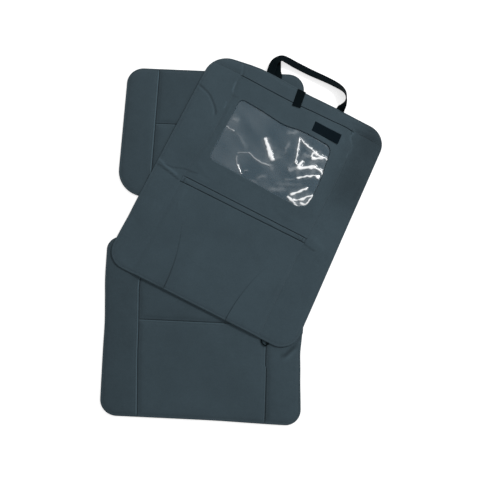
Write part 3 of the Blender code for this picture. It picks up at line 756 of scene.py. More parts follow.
class Finish:
    """A node material, built by adding nodes and ending in a Principled shader."""

    def __init__(self, name):
        self.material = bpy.data.materials.new(name)
        self.material.use_nodes = True
        self.tree = self.material.node_tree
        self.tree.nodes.clear()

    def node(self, kind, options, sockets):
        made = self.tree.nodes.new(kind)
        for option, value in options.items():
            setattr(made, option, value)
        for socket, value in sockets.items():
            entry = made.inputs[socket]
            source = value.socket if isinstance(value, Signal) else value
            if isinstance(source, bpy.types.NodeSocket):
                self.tree.links.new(source, entry)
            else:
                entry.default_value = source
        return made

    def place(self, turn=0.0):
        """x, y and z on the piece, turned about Z so that a pattern follows the cloth."""
        coordinate = self.node("ShaderNodeTexCoord", {}, {})
        mapping = self.node("ShaderNodeMapping", {"vector_type": "POINT"},
                            {"Vector": coordinate.outputs["Object"], "Rotation": (0, 0, turn)})
        parts = self.node("ShaderNodeSeparateXYZ", {}, {"Vector": mapping.outputs[0]})
        return mapping.outputs[0], [Signal(self, output) for output in parts.outputs]

    def length_and_width(self):
        """The two coordinates of the piece's own UV map, in metres."""
        uv = self.node("ShaderNodeUVMap", {"uv_map": "UVMap"}, {})
        parts = self.node("ShaderNodeSeparateXYZ", {}, {"Vector": uv.outputs[0]})
        return [Signal(self, output) for output in parts.outputs[:2]]

    def noise(self, vector, scale, detail=2.0, roughness=0.5):
        node = self.node("ShaderNodeTexNoise", {"noise_dimensions": "3D"},
                         {"Vector": vector, "Scale": scale, "Detail": detail,
                          "Roughness": roughness})
        return Signal(self, node.outputs["Fac"])

    def mark(self, name):
        node = self.node("ShaderNodeAttribute", {"attribute_name": name}, {})
        return Signal(self, node.outputs["Fac"])

    def between(self, colour_a, colour_b, share):
        node = self.node("ShaderNodeMix", {"data_type": "RGBA", "clamp_factor": True},
                         {0: share, 6: colour_a, 7: colour_b})
        return node.outputs[2]

    def bump(self, height, strength, distance, normal=None):
        sockets = {"Height": height, "Strength": strength, "Distance": distance}
        if normal is not None:
            sockets["Normal"] = normal
        return self.node("ShaderNodeBump", {}, sockets).outputs[0]

    def coloured(self, colour, dark, light, share, **sockets):
        """Ends the material in a colour that runs from dark to light times the given one."""
        base = self.between(opaque(colour, dark), opaque(colour, light), share)
        return self.surface(Base_Color=base, **sockets)

    def surface(self, **sockets):
        """Ends the material in a Principled shader; underscores stand for spaces."""
        values = {name.replace("_", " "): value for name, value in sockets.items()}
        shader = self.node("ShaderNodeBsdfPrincipled", {}, values)
        output = self.node("ShaderNodeOutputMaterial", {}, {})
        self.tree.links.new(shader.outputs[0], output.inputs[0])
        return self.material


def opaque(colour, factor=1.0):
    return (*(min(1.0, part * factor) for part in colour), 1.0)


def plain_weave(x, y, pitch):
    """Height of a plain weave: over and under threads alternate like a chessboard, and each is
    an arch across its width and a flatter arch along its float."""
    u, v = x * (1 / pitch), y * (1 / pitch)
    over = ((u.whole() + v.whole()) * 0.5).part() * 2
    across = ((u.part() - 0.5) * math.pi).arch()
    along = ((v.part() - 0.5) * math.pi).arch()
    warp = across * (0.55 + 0.45 * along)
    weft = along * (0.55 + 0.45 * across)
    return over * warp + (1 - over) * weft, over


def sewn_fabric(name, colour, turn):
    """Close-woven polyester: weave and slub in the bump, melange and soft fading in the colour,
    and painted light and shade from the piece's shade mark: painted highlights on folds and seam
    lips, painted shadow in seams and slits."""
    finish = Finish(name)
    vector, (x, y, _) = finish.place(turn)
    weave, over = plain_weave(x, y, 0.00062)
    fibre = finish.noise(vector, 1900.0, 2.0)
    slub = finish.noise(vector, 260.0, 3.0)
    cloud = finish.noise(vector, 9.0, 3.0)
    crumple = finish.noise(vector, 55.0, 4.0, 0.6)
    tone = (0.06 * over + 0.3 * (fibre - 0.5) + 0.22 * (slub - 0.5) + 0.34 * (cloud - 0.5)
            + 0.16 * (crumple - 0.5) + finish.mark("shade") + 0.47)
    share = ((tone + 0.5) * (1 / 3)).clamp()
    low = finish.bump(crumple, 0.35, 0.0011)
    normal = finish.bump(weave + 0.35 * slub, 0.45, 0.00016, low)
    return finish.coloured(colour, 0.1, 2.8, share, Roughness=0.93 - 0.1 * over, Normal=normal,
                           Specular_IOR_Level=0.1, Sheen_Weight=0.04, Sheen_Roughness=0.55)


def webbing_weave(name, colour):
    """Ribbed webbing: ribs across it, a fine twill over them and a denser selvedge."""
    finish = Finish(name)
    along, across = finish.length_and_width()
    vector, _ = finish.place()
    rib = (along * (2 * math.pi / 0.0016)).wave()
    twill = ((along + across * 1.0) * (2 * math.pi / 0.0011)).wave()
    selvedge = ((across.size() - 0.0088) * 900).clamp()
    fibre = finish.noise(vector, 1500.0, 2.0)
    tone = 0.42 + 0.16 * rib + 0.12 * twill + 0.35 * (fibre - 0.5) + 0.2 * selvedge
    normal = finish.bump(rib + 0.6 * twill + 0.5 * selvedge, 0.5, 0.00018)
    return finish.coloured(colour, 0.55, 2.1, tone.clamp(), Roughness=0.62 + 0.1 * rib,
                           Normal=normal, Specular_IOR_Level=0.02)


def satin_label(name, colour):
    """Damask label cloth: very fine ribs, and its slightly raised woven border painted lighter from
    its shade mark, a painted highlight.
    """
    finish = Finish(name)
    vector, (x, y, _) = finish.place(-COVER_ANGLE)
    ribs = (y * (2 * math.pi / 0.00034)).wave()
    threads = (x * (2 * math.pi / 0.00052)).wave()
    fibre = finish.noise(vector, 1800.0, 2.0)
    tone = 0.42 + 0.1 * ribs + 0.08 * threads + 0.3 * (fibre - 0.5) + finish.mark("shade")
    normal = finish.bump(ribs + 0.7 * threads, 0.4, 0.00007)
    return finish.coloured(colour, 0.5, 1.9, tone.clamp(), Roughness=0.55 + 0.06 * ribs,
                           Normal=normal, Specular_IOR_Level=0.02)


def sewing_thread(name, colour):
    """Twisted thread: a fine helix in the bump and a slight variation from stitch to stitch."""
    finish = Finish(name)
    vector, (x, y, z) = finish.place()
    twist = ((x + y + 2 * z) * (2 * math.pi / 0.0007)).wave()
    tone = 0.5 + 0.2 * twist + 0.6 * (finish.noise(vector, 300.0) - 0.5)
    return finish.coloured(colour, 0.7, 1.4, tone.clamp(), Roughness=0.72,
                           Specular_IOR_Level=0.4, Normal=finish.bump(twist, 0.5, 0.0001))


def dotted_lining(name, colour):
    """Non-slip lining: small rubbery dots in staggered rows on a fine knitted ground."""
    finish = Finish(name)
    vector, (x, y, _) = finish.place()
    row = y * (1 / 0.0052)
    u = (x * (1 / 0.006) + 0.5 * ((row.whole() * 0.5).part() * 2)).part() - 0.5
    v = (row.part() - 0.5) * (0.0052 / 0.006)
    distance = (u * u + v * v).root()
    dot = ((0.27 - distance) * 9).clamp()
    knit, over = plain_weave(x, y, 0.0009)
    fibre = finish.noise(vector, 700.0, 2.0)
    ground = finish.between(opaque(colour, 0.7), opaque(colour, 1.5),
                            (0.3 * knit + 0.5 * fibre + 0.1).clamp())
    base = finish.between(ground, opaque(colour, 0.42), dot)
    normal = finish.bump(knit * 0.25 * (1 - dot) + dot, 0.6, 0.0004)
    return finish.surface(Base_Color=base, Roughness=0.9 - 0.38 * dot, Normal=normal,
                          Specular_IOR_Level=0.4)


def clear_film(name, colour):
    """Soft clear film: faint haze, and painted highlights along its folds from its own marks, which
    turn it white and more opaque.
    """
    finish = Finish(name)
    vector, _ = finish.place(-COVER_ANGLE)
    painted_highlight = finish.mark("painted_highlight").clamp()
    haze = finish.noise(vector, 28.0, 3.0, 0.55)
    scuff = finish.noise(vector, 420.0, 2.0)
    base = finish.between(opaque(colour), (0.9, 0.92, 0.93, 1.0), painted_highlight)
    alpha = (0.28 + 0.12 * haze + 0.66 * painted_highlight).clamp()
    rough = 0.15 + 0.06 * scuff
    normal = finish.bump(haze, 0.15, 0.0008)
    return finish.surface(Base_Color=base, Roughness=rough, Alpha=alpha, Normal=normal,
                          Specular_IOR_Level=1.0)


# Sizes and colours that a user would change

def depth_of(node):
    low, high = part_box(node)
    return high.z - low.z


def a_length(name, description, default, low, high, digits=4):
    return FloatProperty(name=name, description=description, unit="LENGTH", default=default,
                         min=low, max=high, precision=digits)


def a_colour(name, description, *default):
    return FloatVectorProperty(name=name, description=description, subtype="COLOR",
                               default=default, min=0, max=1)


class SeatCoverSizes(bpy.types.PropertyGroup):
    padding: a_length("Padding", "Thickness of the padded panels",
                      depth_of("seat_cover_centre_front"), 0.001, 0.01)
    swell: a_length("Swell", "Most that a panel's face rises between its seams",
                    0.0011, 0.0, 0.004)
    pucker: a_length("Pucker", "Height of the gathers beside the seams",
                     0.00016, 0.0, 0.001, 5)


class TabletCoverSizes(bpy.types.PropertyGroup):
    padding: a_length("Padding", "Thickness of the padded back panel", 0.0036, 0.001, 0.01)
    face: a_length("Pocket cloth", "Thickness of the cloth of the pockets",
                   0.0012, 0.0005, 0.003)
    film: a_length("Film", "Thickness of the window's film", 0.0004, 0.0002, 0.001)
    hem: a_length("Hem", "Thickness of the lower pocket's folded hem", 0.0018, 0.001, 0.004)
    swell: a_length("Swell", "Most that the margins rise", 0.0008, 0.0, 0.004)
    webbing: a_length("Webbing width", "Width of the strap, its tail and the tab",
                      0.021, 0.01, 0.03, 3)


class CoverColours(bpy.types.PropertyGroup):
    seat_fabric: a_colour("Seat cover", "Cloth of the seat cover", 0.037, 0.0568, 0.069)
    tablet_fabric: a_colour("Tablet cover", "Cloth of the tablet cover", 0.0413, 0.0636, 0.0775)
    lining: a_colour("Lining", "Non-slip lining", 0.02, 0.022, 0.024)
    film: a_colour("Film", "Haze of the window's film", 0.062, 0.112, 0.15)
    webbing: a_colour("Webbing", "Straps, tab and elastic", 0.0017, 0.004, 0.0052)
    label: a_colour("Label", "Plain woven label", 0.0024, 0.0062, 0.0095)


class StageSettings(bpy.types.PropertyGroup):
    key: FloatProperty(
        name="Key light", description="Power of the softbox", unit="POWER", default=100.0, min=0)
    fill: FloatProperty(
        name="Fill", description="Strength of the even light from all round", default=0.55,
        min=0, max=2)


class ProtectorSettings(bpy.types.PropertyGroup):
    seat: PointerProperty(type=SeatCoverSizes)
    tablet: PointerProperty(type=TabletCoverSizes)
    colours: PointerProperty(type=CoverColours)
    stage: PointerProperty(type=StageSettings)


def settings():
    return bpy.context.scene.seat_protector


def finished(piece, material, slot, *nodes):
    """A piece with its material, which rides on the object's one body and stands for nodes."""
    piece.data.materials.append(material)
    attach(piece, "root")
    if nodes:
        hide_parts(*nodes)
    return piece


def material(name, maker, *values):
    """The named material, made once and shared by its pieces."""
    found = bpy.data.materials.get(name)
    return found or maker(name, *values)


def seat_cloth():
    return material("anthracite_seat_cloth", sewn_fabric, settings().colours.seat_fabric, 0.0)


def tablet_cloth():
    return material("anthracite_cover_cloth", sewn_fabric, settings().colours.tablet_fabric,
                    -COVER_ANGLE)


def black_webbing():
    return material("black_webbing_weave", webbing_weave, settings().colours.webbing)


def grey_thread():
    return material("grey_sewing_thread", sewing_thread, (0.042, 0.06, 0.07))


# Seat cover

# Creases: path, width, height and skew, and for some their painted light and shade
SEAT_CREASES = (
    (trail(233, -223, 216.5, -246, 202, -264, 187.7, -278), 0.0055, 0.0014, 0.3, 0.0, 0.16),
    (trail(225, -243, 211.8, -253, 200.8, -262, 189.7, -270, 176, -271.6), 0.0046, -0.0008, 0.0,
     -0.34),
    (trail(216.5, -256, 206.6, -266.8, 191.9, -278.4, 184.6, -285.1), 0.005, 0.0006, 0.0, 0.14),
    (trail(155, -228, 180, -240, 220, -234), 0.009, 0.0007, 0.2, 0.1),
    (trail(-150, 190, -170, 250, -176, 330), 0.026, 0.0005, 0.0),
    (trail(-120, 330, -70, 320, -30, 315), 0.01, 0.0006, 0.3),
    (trail(-20, -305, 50, -318, 130, -312), 0.03, 0.0005, 0.0),
    (trail(-205, -260, -190, -330, -196, -390), 0.024, 0.0005, 0.0),
)


# Painted light and shade of each panel: how much lighter or darker its cloth is painted
SEAT_PANEL_SHADING = {
    "back_left_wing": -0.02, "back_right_wing": -0.03, "front_left_wing": -0.07,
    "front_right_wing": 0.08, "centre_top": -0.05, "centre_middle": 0.0, "centre_front": 0.05,
}


def seat_panel_outlines():
    """The outlines of the seven panels, between the long seams and the cross seams."""
    middle = (SEAT_REAR_Y + BACK_LOWER_Y) / 2
    outlines = {}
    for part, towards in (("back", -1), ("front", 1)):
        half = cut(SEAT_OUTLINE, (0, towards), towards * middle)
        for hand, side in (("left", 1), ("right", -1)):
            outlines[f"{part}_{hand}_wing"] = cut(half, (side, 0), -LONG_SEAM_X - HALF_GAP)
    strip = cut(cut(SEAT_OUTLINE, (1, 0), LONG_SEAM_X - HALF_GAP), (-1, 0), LONG_SEAM_X - HALF_GAP)
    outlines["centre_top"] = cut(strip, (0, -1), -TOP_SEAM_Y - HALF_GAP)
    outlines["centre_middle"] = cut(cut(strip, (0, 1), TOP_SEAM_Y - HALF_GAP),
                                    (0, -1), -FRONT_SEAM_Y - HALF_GAP)
    outlines["centre_front"] = cut(strip, (0, 1), FRONT_SEAM_Y - HALF_GAP)
    return outlines


def seat_panel(name, outline, seed):
    """One padded panel: its thickness follows the rim, its face swells and puckers, and where
    the tablet cover lies on it the face stays flat."""
    sizes = settings().seat
    extra = ()
    if name == "centre_middle":
        run = lengths_along(four_sides(outline)[1])
        extra = run[1:-1] / run[-1]
    across, up, x, y, depth = panel_grid(outline, SEAT_PITCH, extra)
    there = strayed(x, y)
    over = in_cover_frame(there[..., 0], there[..., 1])
    bare = eased(-inside_depth(over[..., 0], over[..., 1], COVER_OUTLINE), 0.001, 0.03)
    inner = eased(depth, 0.004, 0.03)
    relief = swollen(outline, across, up, sizes.swell)
    relief += 0.0003 * (1 + ripples(x, y, seed, 0.05, 0.2)) * inner
    relief += folds(x, y, SEAT_CREASES) * eased(depth, 0.002, 0.012)
    relief += sizes.pucker * puckers(depth, x + y, seed)
    relief += 0.0009 * groove(depth, SEAT_STITCH_IN, 0.0014)
    high = PANEL_LOW + sizes.padding * rim_height(depth) + bare * relief
    low = np.full_like(high, PANEL_LOW) + 0.0003 * (1 - eased(depth, 0, 0.002))
    # Painted light and shade along the seams: lips that face the light painted lighter, those
    # turned from it painted darker with a broad painted shade beside them, and a thin painted
    # shadow in each seam
    seam = eased(inside_depth(x, y, SEAT_OUTLINE), 0.002, 0.01) * facing(x, y, outline)
    shade = SEAT_PANEL_SHADING[name] + painted_crease_light(x, y, SEAT_CREASES)
    right = eased(x, 0.0, 0.14)
    shade += (0.84 - 0.5 * right) * np.maximum(seam, 0) * (
        bell(depth, 0.0014, 0.0016))
    shade += np.minimum(seam, 0) * (0.36 * bell(depth, 0.003)
                                    + (0.16 + 0.16 * right) * np.exp(-depth / 0.01))
    shade -= 0.08 * bell(depth, 0.0006)
    piece = cloth_piece(f"seat_{name}", there, low, high, shade)
    finished(piece, seat_cloth(), "seat_cover_fabric", f"seat_cover_{name}")
    return piece


def seat_lining():
    """The lining: straight rows across the outline, from its left to its right edge at each
    height, with a turned rim."""
    outline = SEAT_OUTLINE
    corner = np.unique(np.round(outline[:, 1], 6))
    steps = np.arange(SEAT_FRONT_Y + 0.006, BACK_TOP_Y - 0.003, 0.006)
    heights = np.unique(np.concatenate((corner, steps)))
    heights = heights[np.concatenate(((True,), np.diff(heights) > 0.0002))]
    heights[0] += 0.00002
    heights[-1] = outline[:, 1].max() - 0.00002
    start, end = outline, np.roll(outline, -1, axis=0)
    spans = []
    for y in heights:
        meets = (start[:, 1] > y) != (end[:, 1] > y)
        share = (y - start[meets, 1]) / (end[meets, 1] - start[meets, 1])
        x = start[meets, 0] + share * (end[meets, 0] - start[meets, 0])
        spans.append((x.min() + 0.001, x.max() - 0.001))
    spans = np.array(spans)
    shares = np.linspace(0, 1, 61)
    x = spans[:, :1] + (spans[:, 1:] - spans[:, :1]) * shares
    y = np.broadcast_to(heights[:, None], x.shape)
    piece = cloth_piece("lining", strayed(x, y), np.zeros(x.shape), np.full(x.shape, LINING_TOP))
    finished(piece, material("dotted_non_slip_lining", dotted_lining, settings().colours.lining),
             "lining", "seat_cover_lining")
    area = float(((spans[:-1, 1] - spans[:-1, 0] + spans[1:, 1] - spans[1:, 0]) / 2
                  * np.diff(heights)).sum())
    return piece


def offset_line(line, distance):
    """A line moved square to itself, to its left where the distance is positive."""
    along = directions(line)
    return line + distance * np.column_stack((-along[:, 1], along[:, 0]))


class MakeSeatCover(bpy.types.Operator):
    """Make the seat cover's seven padded panels, its lining and its stitching"""

    bl_idname = "seat_protector.seat_cover"
    bl_label = "Seat Cover"

    def execute(self, context):
        panels = [seat_panel(name, outline, 20 + i)
                  for i, (name, outline) in enumerate(seat_panel_outlines().items())]
        seat_lining()
        rows = [offset_line(closed(SEAT_OUTLINE), SEAT_STITCH_IN)]
        for side in (-1, 1):
            rows.append([(side * 0.1497, y) for y in (SEAT_FRONT_Y + 0.006, SEAT_REAR_Y - 0.006)])
            rows.append([(side * 0.1497, y) for y in (BACK_LOWER_Y + 0.006, BACK_TOP_Y - 0.006)])
        for y in (FRONT_SEAM_Y - SEAT_STITCH_IN, TOP_SEAM_Y - SEAT_STITCH_IN):
            rows.append([(-0.141, y), (0.141, y)])
        rows = [resampled(np.asarray(row, float), np.linspace(0, 1, 200)) for row in rows]
        rows = [strayed(row[:, 0], row[:, 1]) for row in rows]
        stitches = stitched("seat_cover_stitching", rows, top_of(panels))
        finished(stitches, grey_thread(), "seat_cover_fabric")
        return {"FINISHED"}


# Tablet cover

# Creases of the back panel's margins, of the header and of the tablet pocket, with their painted
# light and shade
MARGIN_CREASES = (
    (trail(-244, 198.5, -208, 186.2, -187.2, 170.3, -173, 154.5, -166, 140), 0.0032, 0.0012, 0.3,
     -0.1, -0.5),
    (trail(-240, -14, -217.5, -23.7, -195.3, -29, -174, -33), 0.0026, 0.0014, 0.2, 0.45),
    (trail(-240, -28, -218.9, -31, -191.1, -36.5, -165, -43), 0.0017, -0.0006, 0.0, -0.5),
    (trail(-224, -18, -204.3, -21.8, -190.2, -18.5, -171.7, -12.1, -156.4, -10.1, -130, -8), 0.0017,
     -0.0004, 0.0, -0.32),
    (trail(164, -50, 178, -51.5, 196, -52.5), 0.0014, -0.0006, 0.0, -0.45),
    (trail(168, -29, 190, -33, 215, -45), 0.007, 0.0008, 0.2, 0.08),
    (trail(174, 102, 214.4, 93.6, 229.7, 109, 229, 140), 0.006, 0.0006, 0.0, 0.0, -0.05),
    (trail(170, 20, 200, 50, 235, 70), 0.02, 0.0006, 0.0, 0.04),
    (trail(188, 230, 205, 170, 200, 120), 0.015, 0.0006, 0.0),
    (trail(-215, 120, -205, 60, -195, 10), 0.015, 0.0006, 0.0),
    (trail(-210, -70, -200, -140, -206, -210), 0.02, 0.0007, 0.0),
    (trail(195, -90, 208, -150, 200, -230), 0.02, 0.0006, 0.0),
)
HEADER_CREASES = (
    (trail(-167.9, 299.1, -159.4, 284.9, -153, 264), 0.0032, 0.0006, 0.3, 0.1, -0.2),
    (trail(-226, 269, -190, 269.2, -156, 268.5), 0.001, -0.0002, 0.0, -0.16),
    (trail(160, 255.5, 181.6, 259, 208, 256.3), 0.001, -0.0002, 0.0, -0.26),
)
POCKET_CREASES = (
    (trail(-161, 248, -159, 227.7, -154.8, 216), 0.002, 0.0007, 0.2, 0.5),
    (trail(-157.6, 189, -156.2, 178, -155.6, 169), 0.0013, 0.0004, 0.0, 0.55),
    (trail(-156, 212, -144.5, 208.5, -134, 211), 0.0016, -0.0004, 0.0, -0.22),
    (trail(147, 253, 153.5, 255.1, 156.5, 248.4, 150, 243), 0.0014, 0.0005, 0.0, 0.45),
    (trail(150, 244, 162, 229, 166.8, 214.6, 165, 186), 0.0018, 0.0006, 0.2, 0.32),
)
COVER_CREASES = MARGIN_CREASES + HEADER_CREASES + POCKET_CREASES


def cover_painted_light(x, y):
    """Painted light and shade of the whole tablet cover: its creases, and its right side, painted
    darker as it turns from the light.
    """
    return (painted_crease_light(x, y, COVER_CREASES) - 0.03
            - 0.3 * eased(x, 0.13, 0.2) * eased(y, 0.01, 0.12))


def face_floor(x, y):
    """The level on which the pockets' cloth lies: the back panel's top, rounded at its rim."""
    depth = inside_depth(x, y, COVER_OUTLINE)
    return (lay(x, y) + settings().tablet.padding * rim_height(depth)
            + 0.0007 * groove(depth, COVER_STITCH_IN, 0.0013))


def pocket_depth(x, y):
    """How deep a point is inside the ground that the header and the pockets cover."""
    sides = np.minimum(x - pocket_left_x(y), pocket_right_x(y) - x)
    return np.maximum(sides, y - mouth_y(x))


def back_panel():
    """The padded back panel, the whole cover's outline. It is sunk a little where other cloth
    lies on it, so that their folds never meet, and deeper along the slits of the pockets."""
    sizes = settings().tablet
    across, up, x, y, depth = panel_grid(COVER_OUTLINE, COVER_PITCH)
    covered = eased(pocket_depth(x, y), 0.0015, 0.006)
    bare = 1 - covered
    relief = swollen(COVER_OUTLINE, across, up, sizes.swell) * bare
    relief += folds(x, y, COVER_CREASES) * eased(depth, 0.000, 0.008) * bare
    relief += 0.00012 * puckers(depth, x + y, 41) * bare
    relief += 0.0007 * groove(depth, COVER_STITCH_IN, 0.0013)
    relief -= 0.0009 * covered * eased(depth, 0.004, 0.012)
    lift = lay(x, y)
    high = lift + sizes.padding * rim_height(depth) + relief
    low = lift + 0.0008 * (1 - eased(depth, 0, 0.006))
    # Painted shadow along the slits of the mouth and of the hem, and the cloth a little lighter
    # along its rim
    slit_shadow = sum(bell(y - line(x), width) * (np.abs(x) < reach) for line, width, reach in
               ((mouth_y, 0.002, 0.155), (hem_top_y, 0.0018, 0.166), (hem_low_y, 0.0018, 0.166)))
    shade = -0.65 * np.clip(slit_shadow, 0, 1) + 0.06 * bell(depth, 0.003)
    piece = cloth_piece("tablet_cover_back", placed(x, y), low, high, shade + cover_painted_light(x, y))
    finished(piece, tablet_cloth(), "tablet_cover_fabric", "tablet_cover_back_panel")
    return piece


def face_sheet(name, node, x, y, relief, thickness, shade, rim, flat=1.0, ring=False):
    """A piece of pocket cloth over the back panel: turned rims, its relief on both faces, and
    flattened to flat times its thickness where it is sewn down flush."""
    floor = face_floor(x, y) + FACE_GAP + np.maximum(relief, -0.0008)
    turned = 0.45 + 0.55 * np.sqrt(1 - (1 - np.clip(rim / 0.0016, 0, 1)) ** 2)
    high = floor + thickness * np.minimum(turned, flat)
    piece = cloth_piece(name, placed(x, y), floor, high, shade + cover_painted_light(x, y), ring)
    return finished(piece, tablet_cloth(), "tablet_cover_fabric", node)


def flushed(distance):
    """Share of its thickness that cloth has at a distance from where it is sewn down flush."""
    return 0.18 + 0.82 * eased(distance, 0.0, 0.014)


def raised(line, shift):
    """A level line moved up by a shift, or down where it is negative."""
    return lambda x: line(x) + shift


def upright_lines(sides):
    """Straight upright lines at places across the cover, as functions of the height."""
    return [lambda y, side=side: np.full(np.shape(y), side) for side in sides]


def between_lines(x_lines, y_low, y_high, across, up):
    """A grid between two level lines and two upright ones, each a function of the other axis:
    the height runs from the low line to the high one, and x from line to line at that height."""
    v = up[:, None]
    u = across[None, :]
    x = x_lines[0](0.0) + (x_lines[1](0.0) - x_lines[0](0.0)) * u
    for _ in range(4):
        y = y_low(x) + (y_high(x) - y_low(x)) * v
        x = x_lines[0](y) + (x_lines[1](y) - x_lines[0](y)) * u
    return x, y


def rim_depth(x, y, y_low, y_high):
    """Distance in from the nearer of the two level lines that bound a grid."""
    return np.maximum(np.minimum(y - y_low(x), y_high(x) - y), 0)


def side_depth(x, y, x_lines):
    """Distance in from the nearer of the two upright lines that bound a grid."""
    return np.maximum(np.minimum(x - x_lines[0](y), x_lines[1](y) - x), 0)


def header():
    """The header above the pocket's mouth, along the cover's crowned top edge."""
    inner = offset_line(closed(COVER_OUTLINE), FACE_INSET)[:-1]
    kept = inner[inner[:, 1] > mouth_y(inner[:, 0]) + MOUTH_SLIT]
    right_first = int(np.argmin(kept[:, 1] + 10 * (kept[:, 0] < 0)))
    kept = np.roll(kept, -right_first, axis=0)
    x = np.linspace(kept[-1, 0] - 0.0001, kept[0, 0] + 0.0001, 160)
    base = np.column_stack((x, mouth_y(x) + MOUTH_SLIT))
    shape = tidied(np.vstack((base, kept)))
    across, up = spaced(np.ptp(shape[:, 0]), 0.0026), spaced(0.04, 0.0022)
    plan = patch(shape, across, up)
    x, y = plan[..., 0], plan[..., 1]
    rim = np.maximum(inside_depth(x, y, shape), 0)
    lines = (
        (trail(-160, 280, -190, 286, -225, 280), 0.009, 0.0005, 0.0),
        (trail(156, 262, 175, 268, 210, 266), 0.005, 0.0006, 0.2),
        (trail(40, 285, 90, 276, 150, 276), 0.008, 0.0005, 0.0),
    )
    relief = folds(x, y, lines + HEADER_CREASES) * eased(rim, 0, 0.006)
    relief += 0.00008 * puckers(rim, x, 61)
    lip = eased(np.abs(x), 0.15, 0.16)
    relief += 0.0009 * np.exp(-(y - mouth_y(x)) / 0.006) * (1 - lip)
    over = y - mouth_y(x)
    flat = np.maximum(flushed(over), 1 - lip)
    relief *= np.maximum(eased(over, 0.0, 0.014), 1 - lip)
    # Painted shadow under the header's edge along the mouth, and a fainter one past the mouth on
    # the right; the cloth a little lighter along its rim
    shade = 0.05 * bell(rim, 0.0025) - 0.05
    shade -= 0.25 * bell(over, 0.0008) * (1 - lip)
    shade -= 0.08 * bell(over, 0.001, 0.0016) * lip * (x > 0)
    piece = face_sheet("header", "tablet_cover_header", x, y, relief, settings().tablet.face,
                       shade, np.maximum(rim, lip * (over < 0.006)), flat)
    return piece


# Slack folds of the tablet pocket, which carry no painted light or shade
POCKET_SLACK = (
    (trail(-125, 31, -39, 22.5, 40, 18, 110, 16), 0.0013, -0.0005, 0.0),
    (trail(-143, 186, -145, 140, -152, 90), 0.005, 0.0006, 0.0),
    (trail(150, 130, 148, 60, 156, 0), 0.006, 0.0006, 0.0),
    (trail(-156, 25, -130, 5, -90, -8), 0.006, 0.0006, 0.0),
    (trail(-150, -12, -120, -18, -90, -16), 0.004, 0.0006, 0.0),
    (trail(60, 0, 100, -10, 145, -6), 0.008, 0.0005, 0.0),
)


def pocket_panel():
    """The tablet pocket's cloth, a ring round the window.

    The outer line runs along the mouth, the two sides and the hem, the inner one is the
    window's edge, and rows between them are straight mixes of the two. The corners of both
    lines share their columns.
    """
    top, low = raised(mouth_y, -MOUTH_SLIT), raised(hem_top_y, MOUTH_SLIT)
    x_lines = (pocket_left_x, pocket_right_x)
    edge = np.linspace(0, 1, 220)
    zero, one = np.zeros(1), np.ones(1)
    lower, upper, left, right = (
        np.column_stack([part.ravel() for part in between_lines(x_lines, low, top, *shares)])
        for shares in ((edge, zero), (edge, one), (zero, edge), (one, edge))
    )
    outer = np.vstack((lower[:-1], right[:-1], upper[::-1][:-1], left[::-1][:-1]))
    hole = window_outline(0.0)
    columns_across, columns_up = np.linspace(0, 1, 121)[:-1], np.linspace(0, 1, 91)[:-1]
    rounds = []
    for line in (outer, hole):
        low_side, right_side, high_side, left_side = four_sides(line)
        rounds.append(np.concatenate((
            resampled(low_side, columns_across), resampled(right_side, columns_up),
            resampled(high_side[::-1], columns_across), resampled(left_side[::-1], columns_up),
        )))
    outside, inside = rounds
    rows = spaced(0.045, 0.0016)[:, None, None]
    plan = outside * (1 - rows) + inside * rows
    x, y = plan[..., 0], plan[..., 1]
    beyond = np.maximum(-inside_depth(x, y, hole), 0)
    rim = np.minimum(rim_depth(x, y, low, top), beyond)
    side = side_depth(x, y, x_lines)
    flat = flushed(side)
    # The window's upper and right edges, which turn from the light: there the cloth is raised and
    # its edge is painted in shadow
    shaded = np.clip(0.5 + 4.0 * (x - WINDOW_MIDDLE[0]) + 9.3 * (y - WINDOW_MIDDLE[1]), 0, 1)
    relief = folds(x, y, POCKET_SLACK + POCKET_CREASES) * eased(rim, 0, 0.004)
    relief += 0.0001 * puckers(rim, x + y, 71)
    relief += 0.0003 * groove(rim, 0.0036, 0.0009)
    relief += 0.0002 * ripples(x, y, 77, 0.03, 0.09) * eased(rim, 0.002, 0.012)
    relief += 0.0005 + 0.0007 * shaded * np.exp(-beyond / 0.005)
    relief *= eased(side, 0.0, 0.012)
    # Painted light and shade: a painted shadow along the window's upper and right edges and painted
    # light along the others, painted light and dark lines along the sides, and a painted shadow at
    # the mouth; the cloth a little lighter along its rim
    shade = 0.07 * bell(rim, 0.0014, 0.0018)
    shade += (0.3 - 0.75 * shaded) * bell(beyond, 0.001)
    shade += 0.12 * bell(side, 0.0009, 0.0012) * (x < 0) * eased(y, 0.04, 0.14)
    shade -= 0.12 * bell(side, 0.001) * (x < 0)
    shade -= 0.42 * bell(side, 0.0012) * (x > 0) * (
        eased(y, 0.000, 0.03) * (1 - eased(y, 0.13, 0.19)))
    shade -= 0.1 * bell(y - top(x), 0.0008)
    piece = face_sheet("tablet_pocket", "tablet_pocket_panel", x, y, relief,
                       settings().tablet.face, shade, rim, flat, ring=True)
    return piece
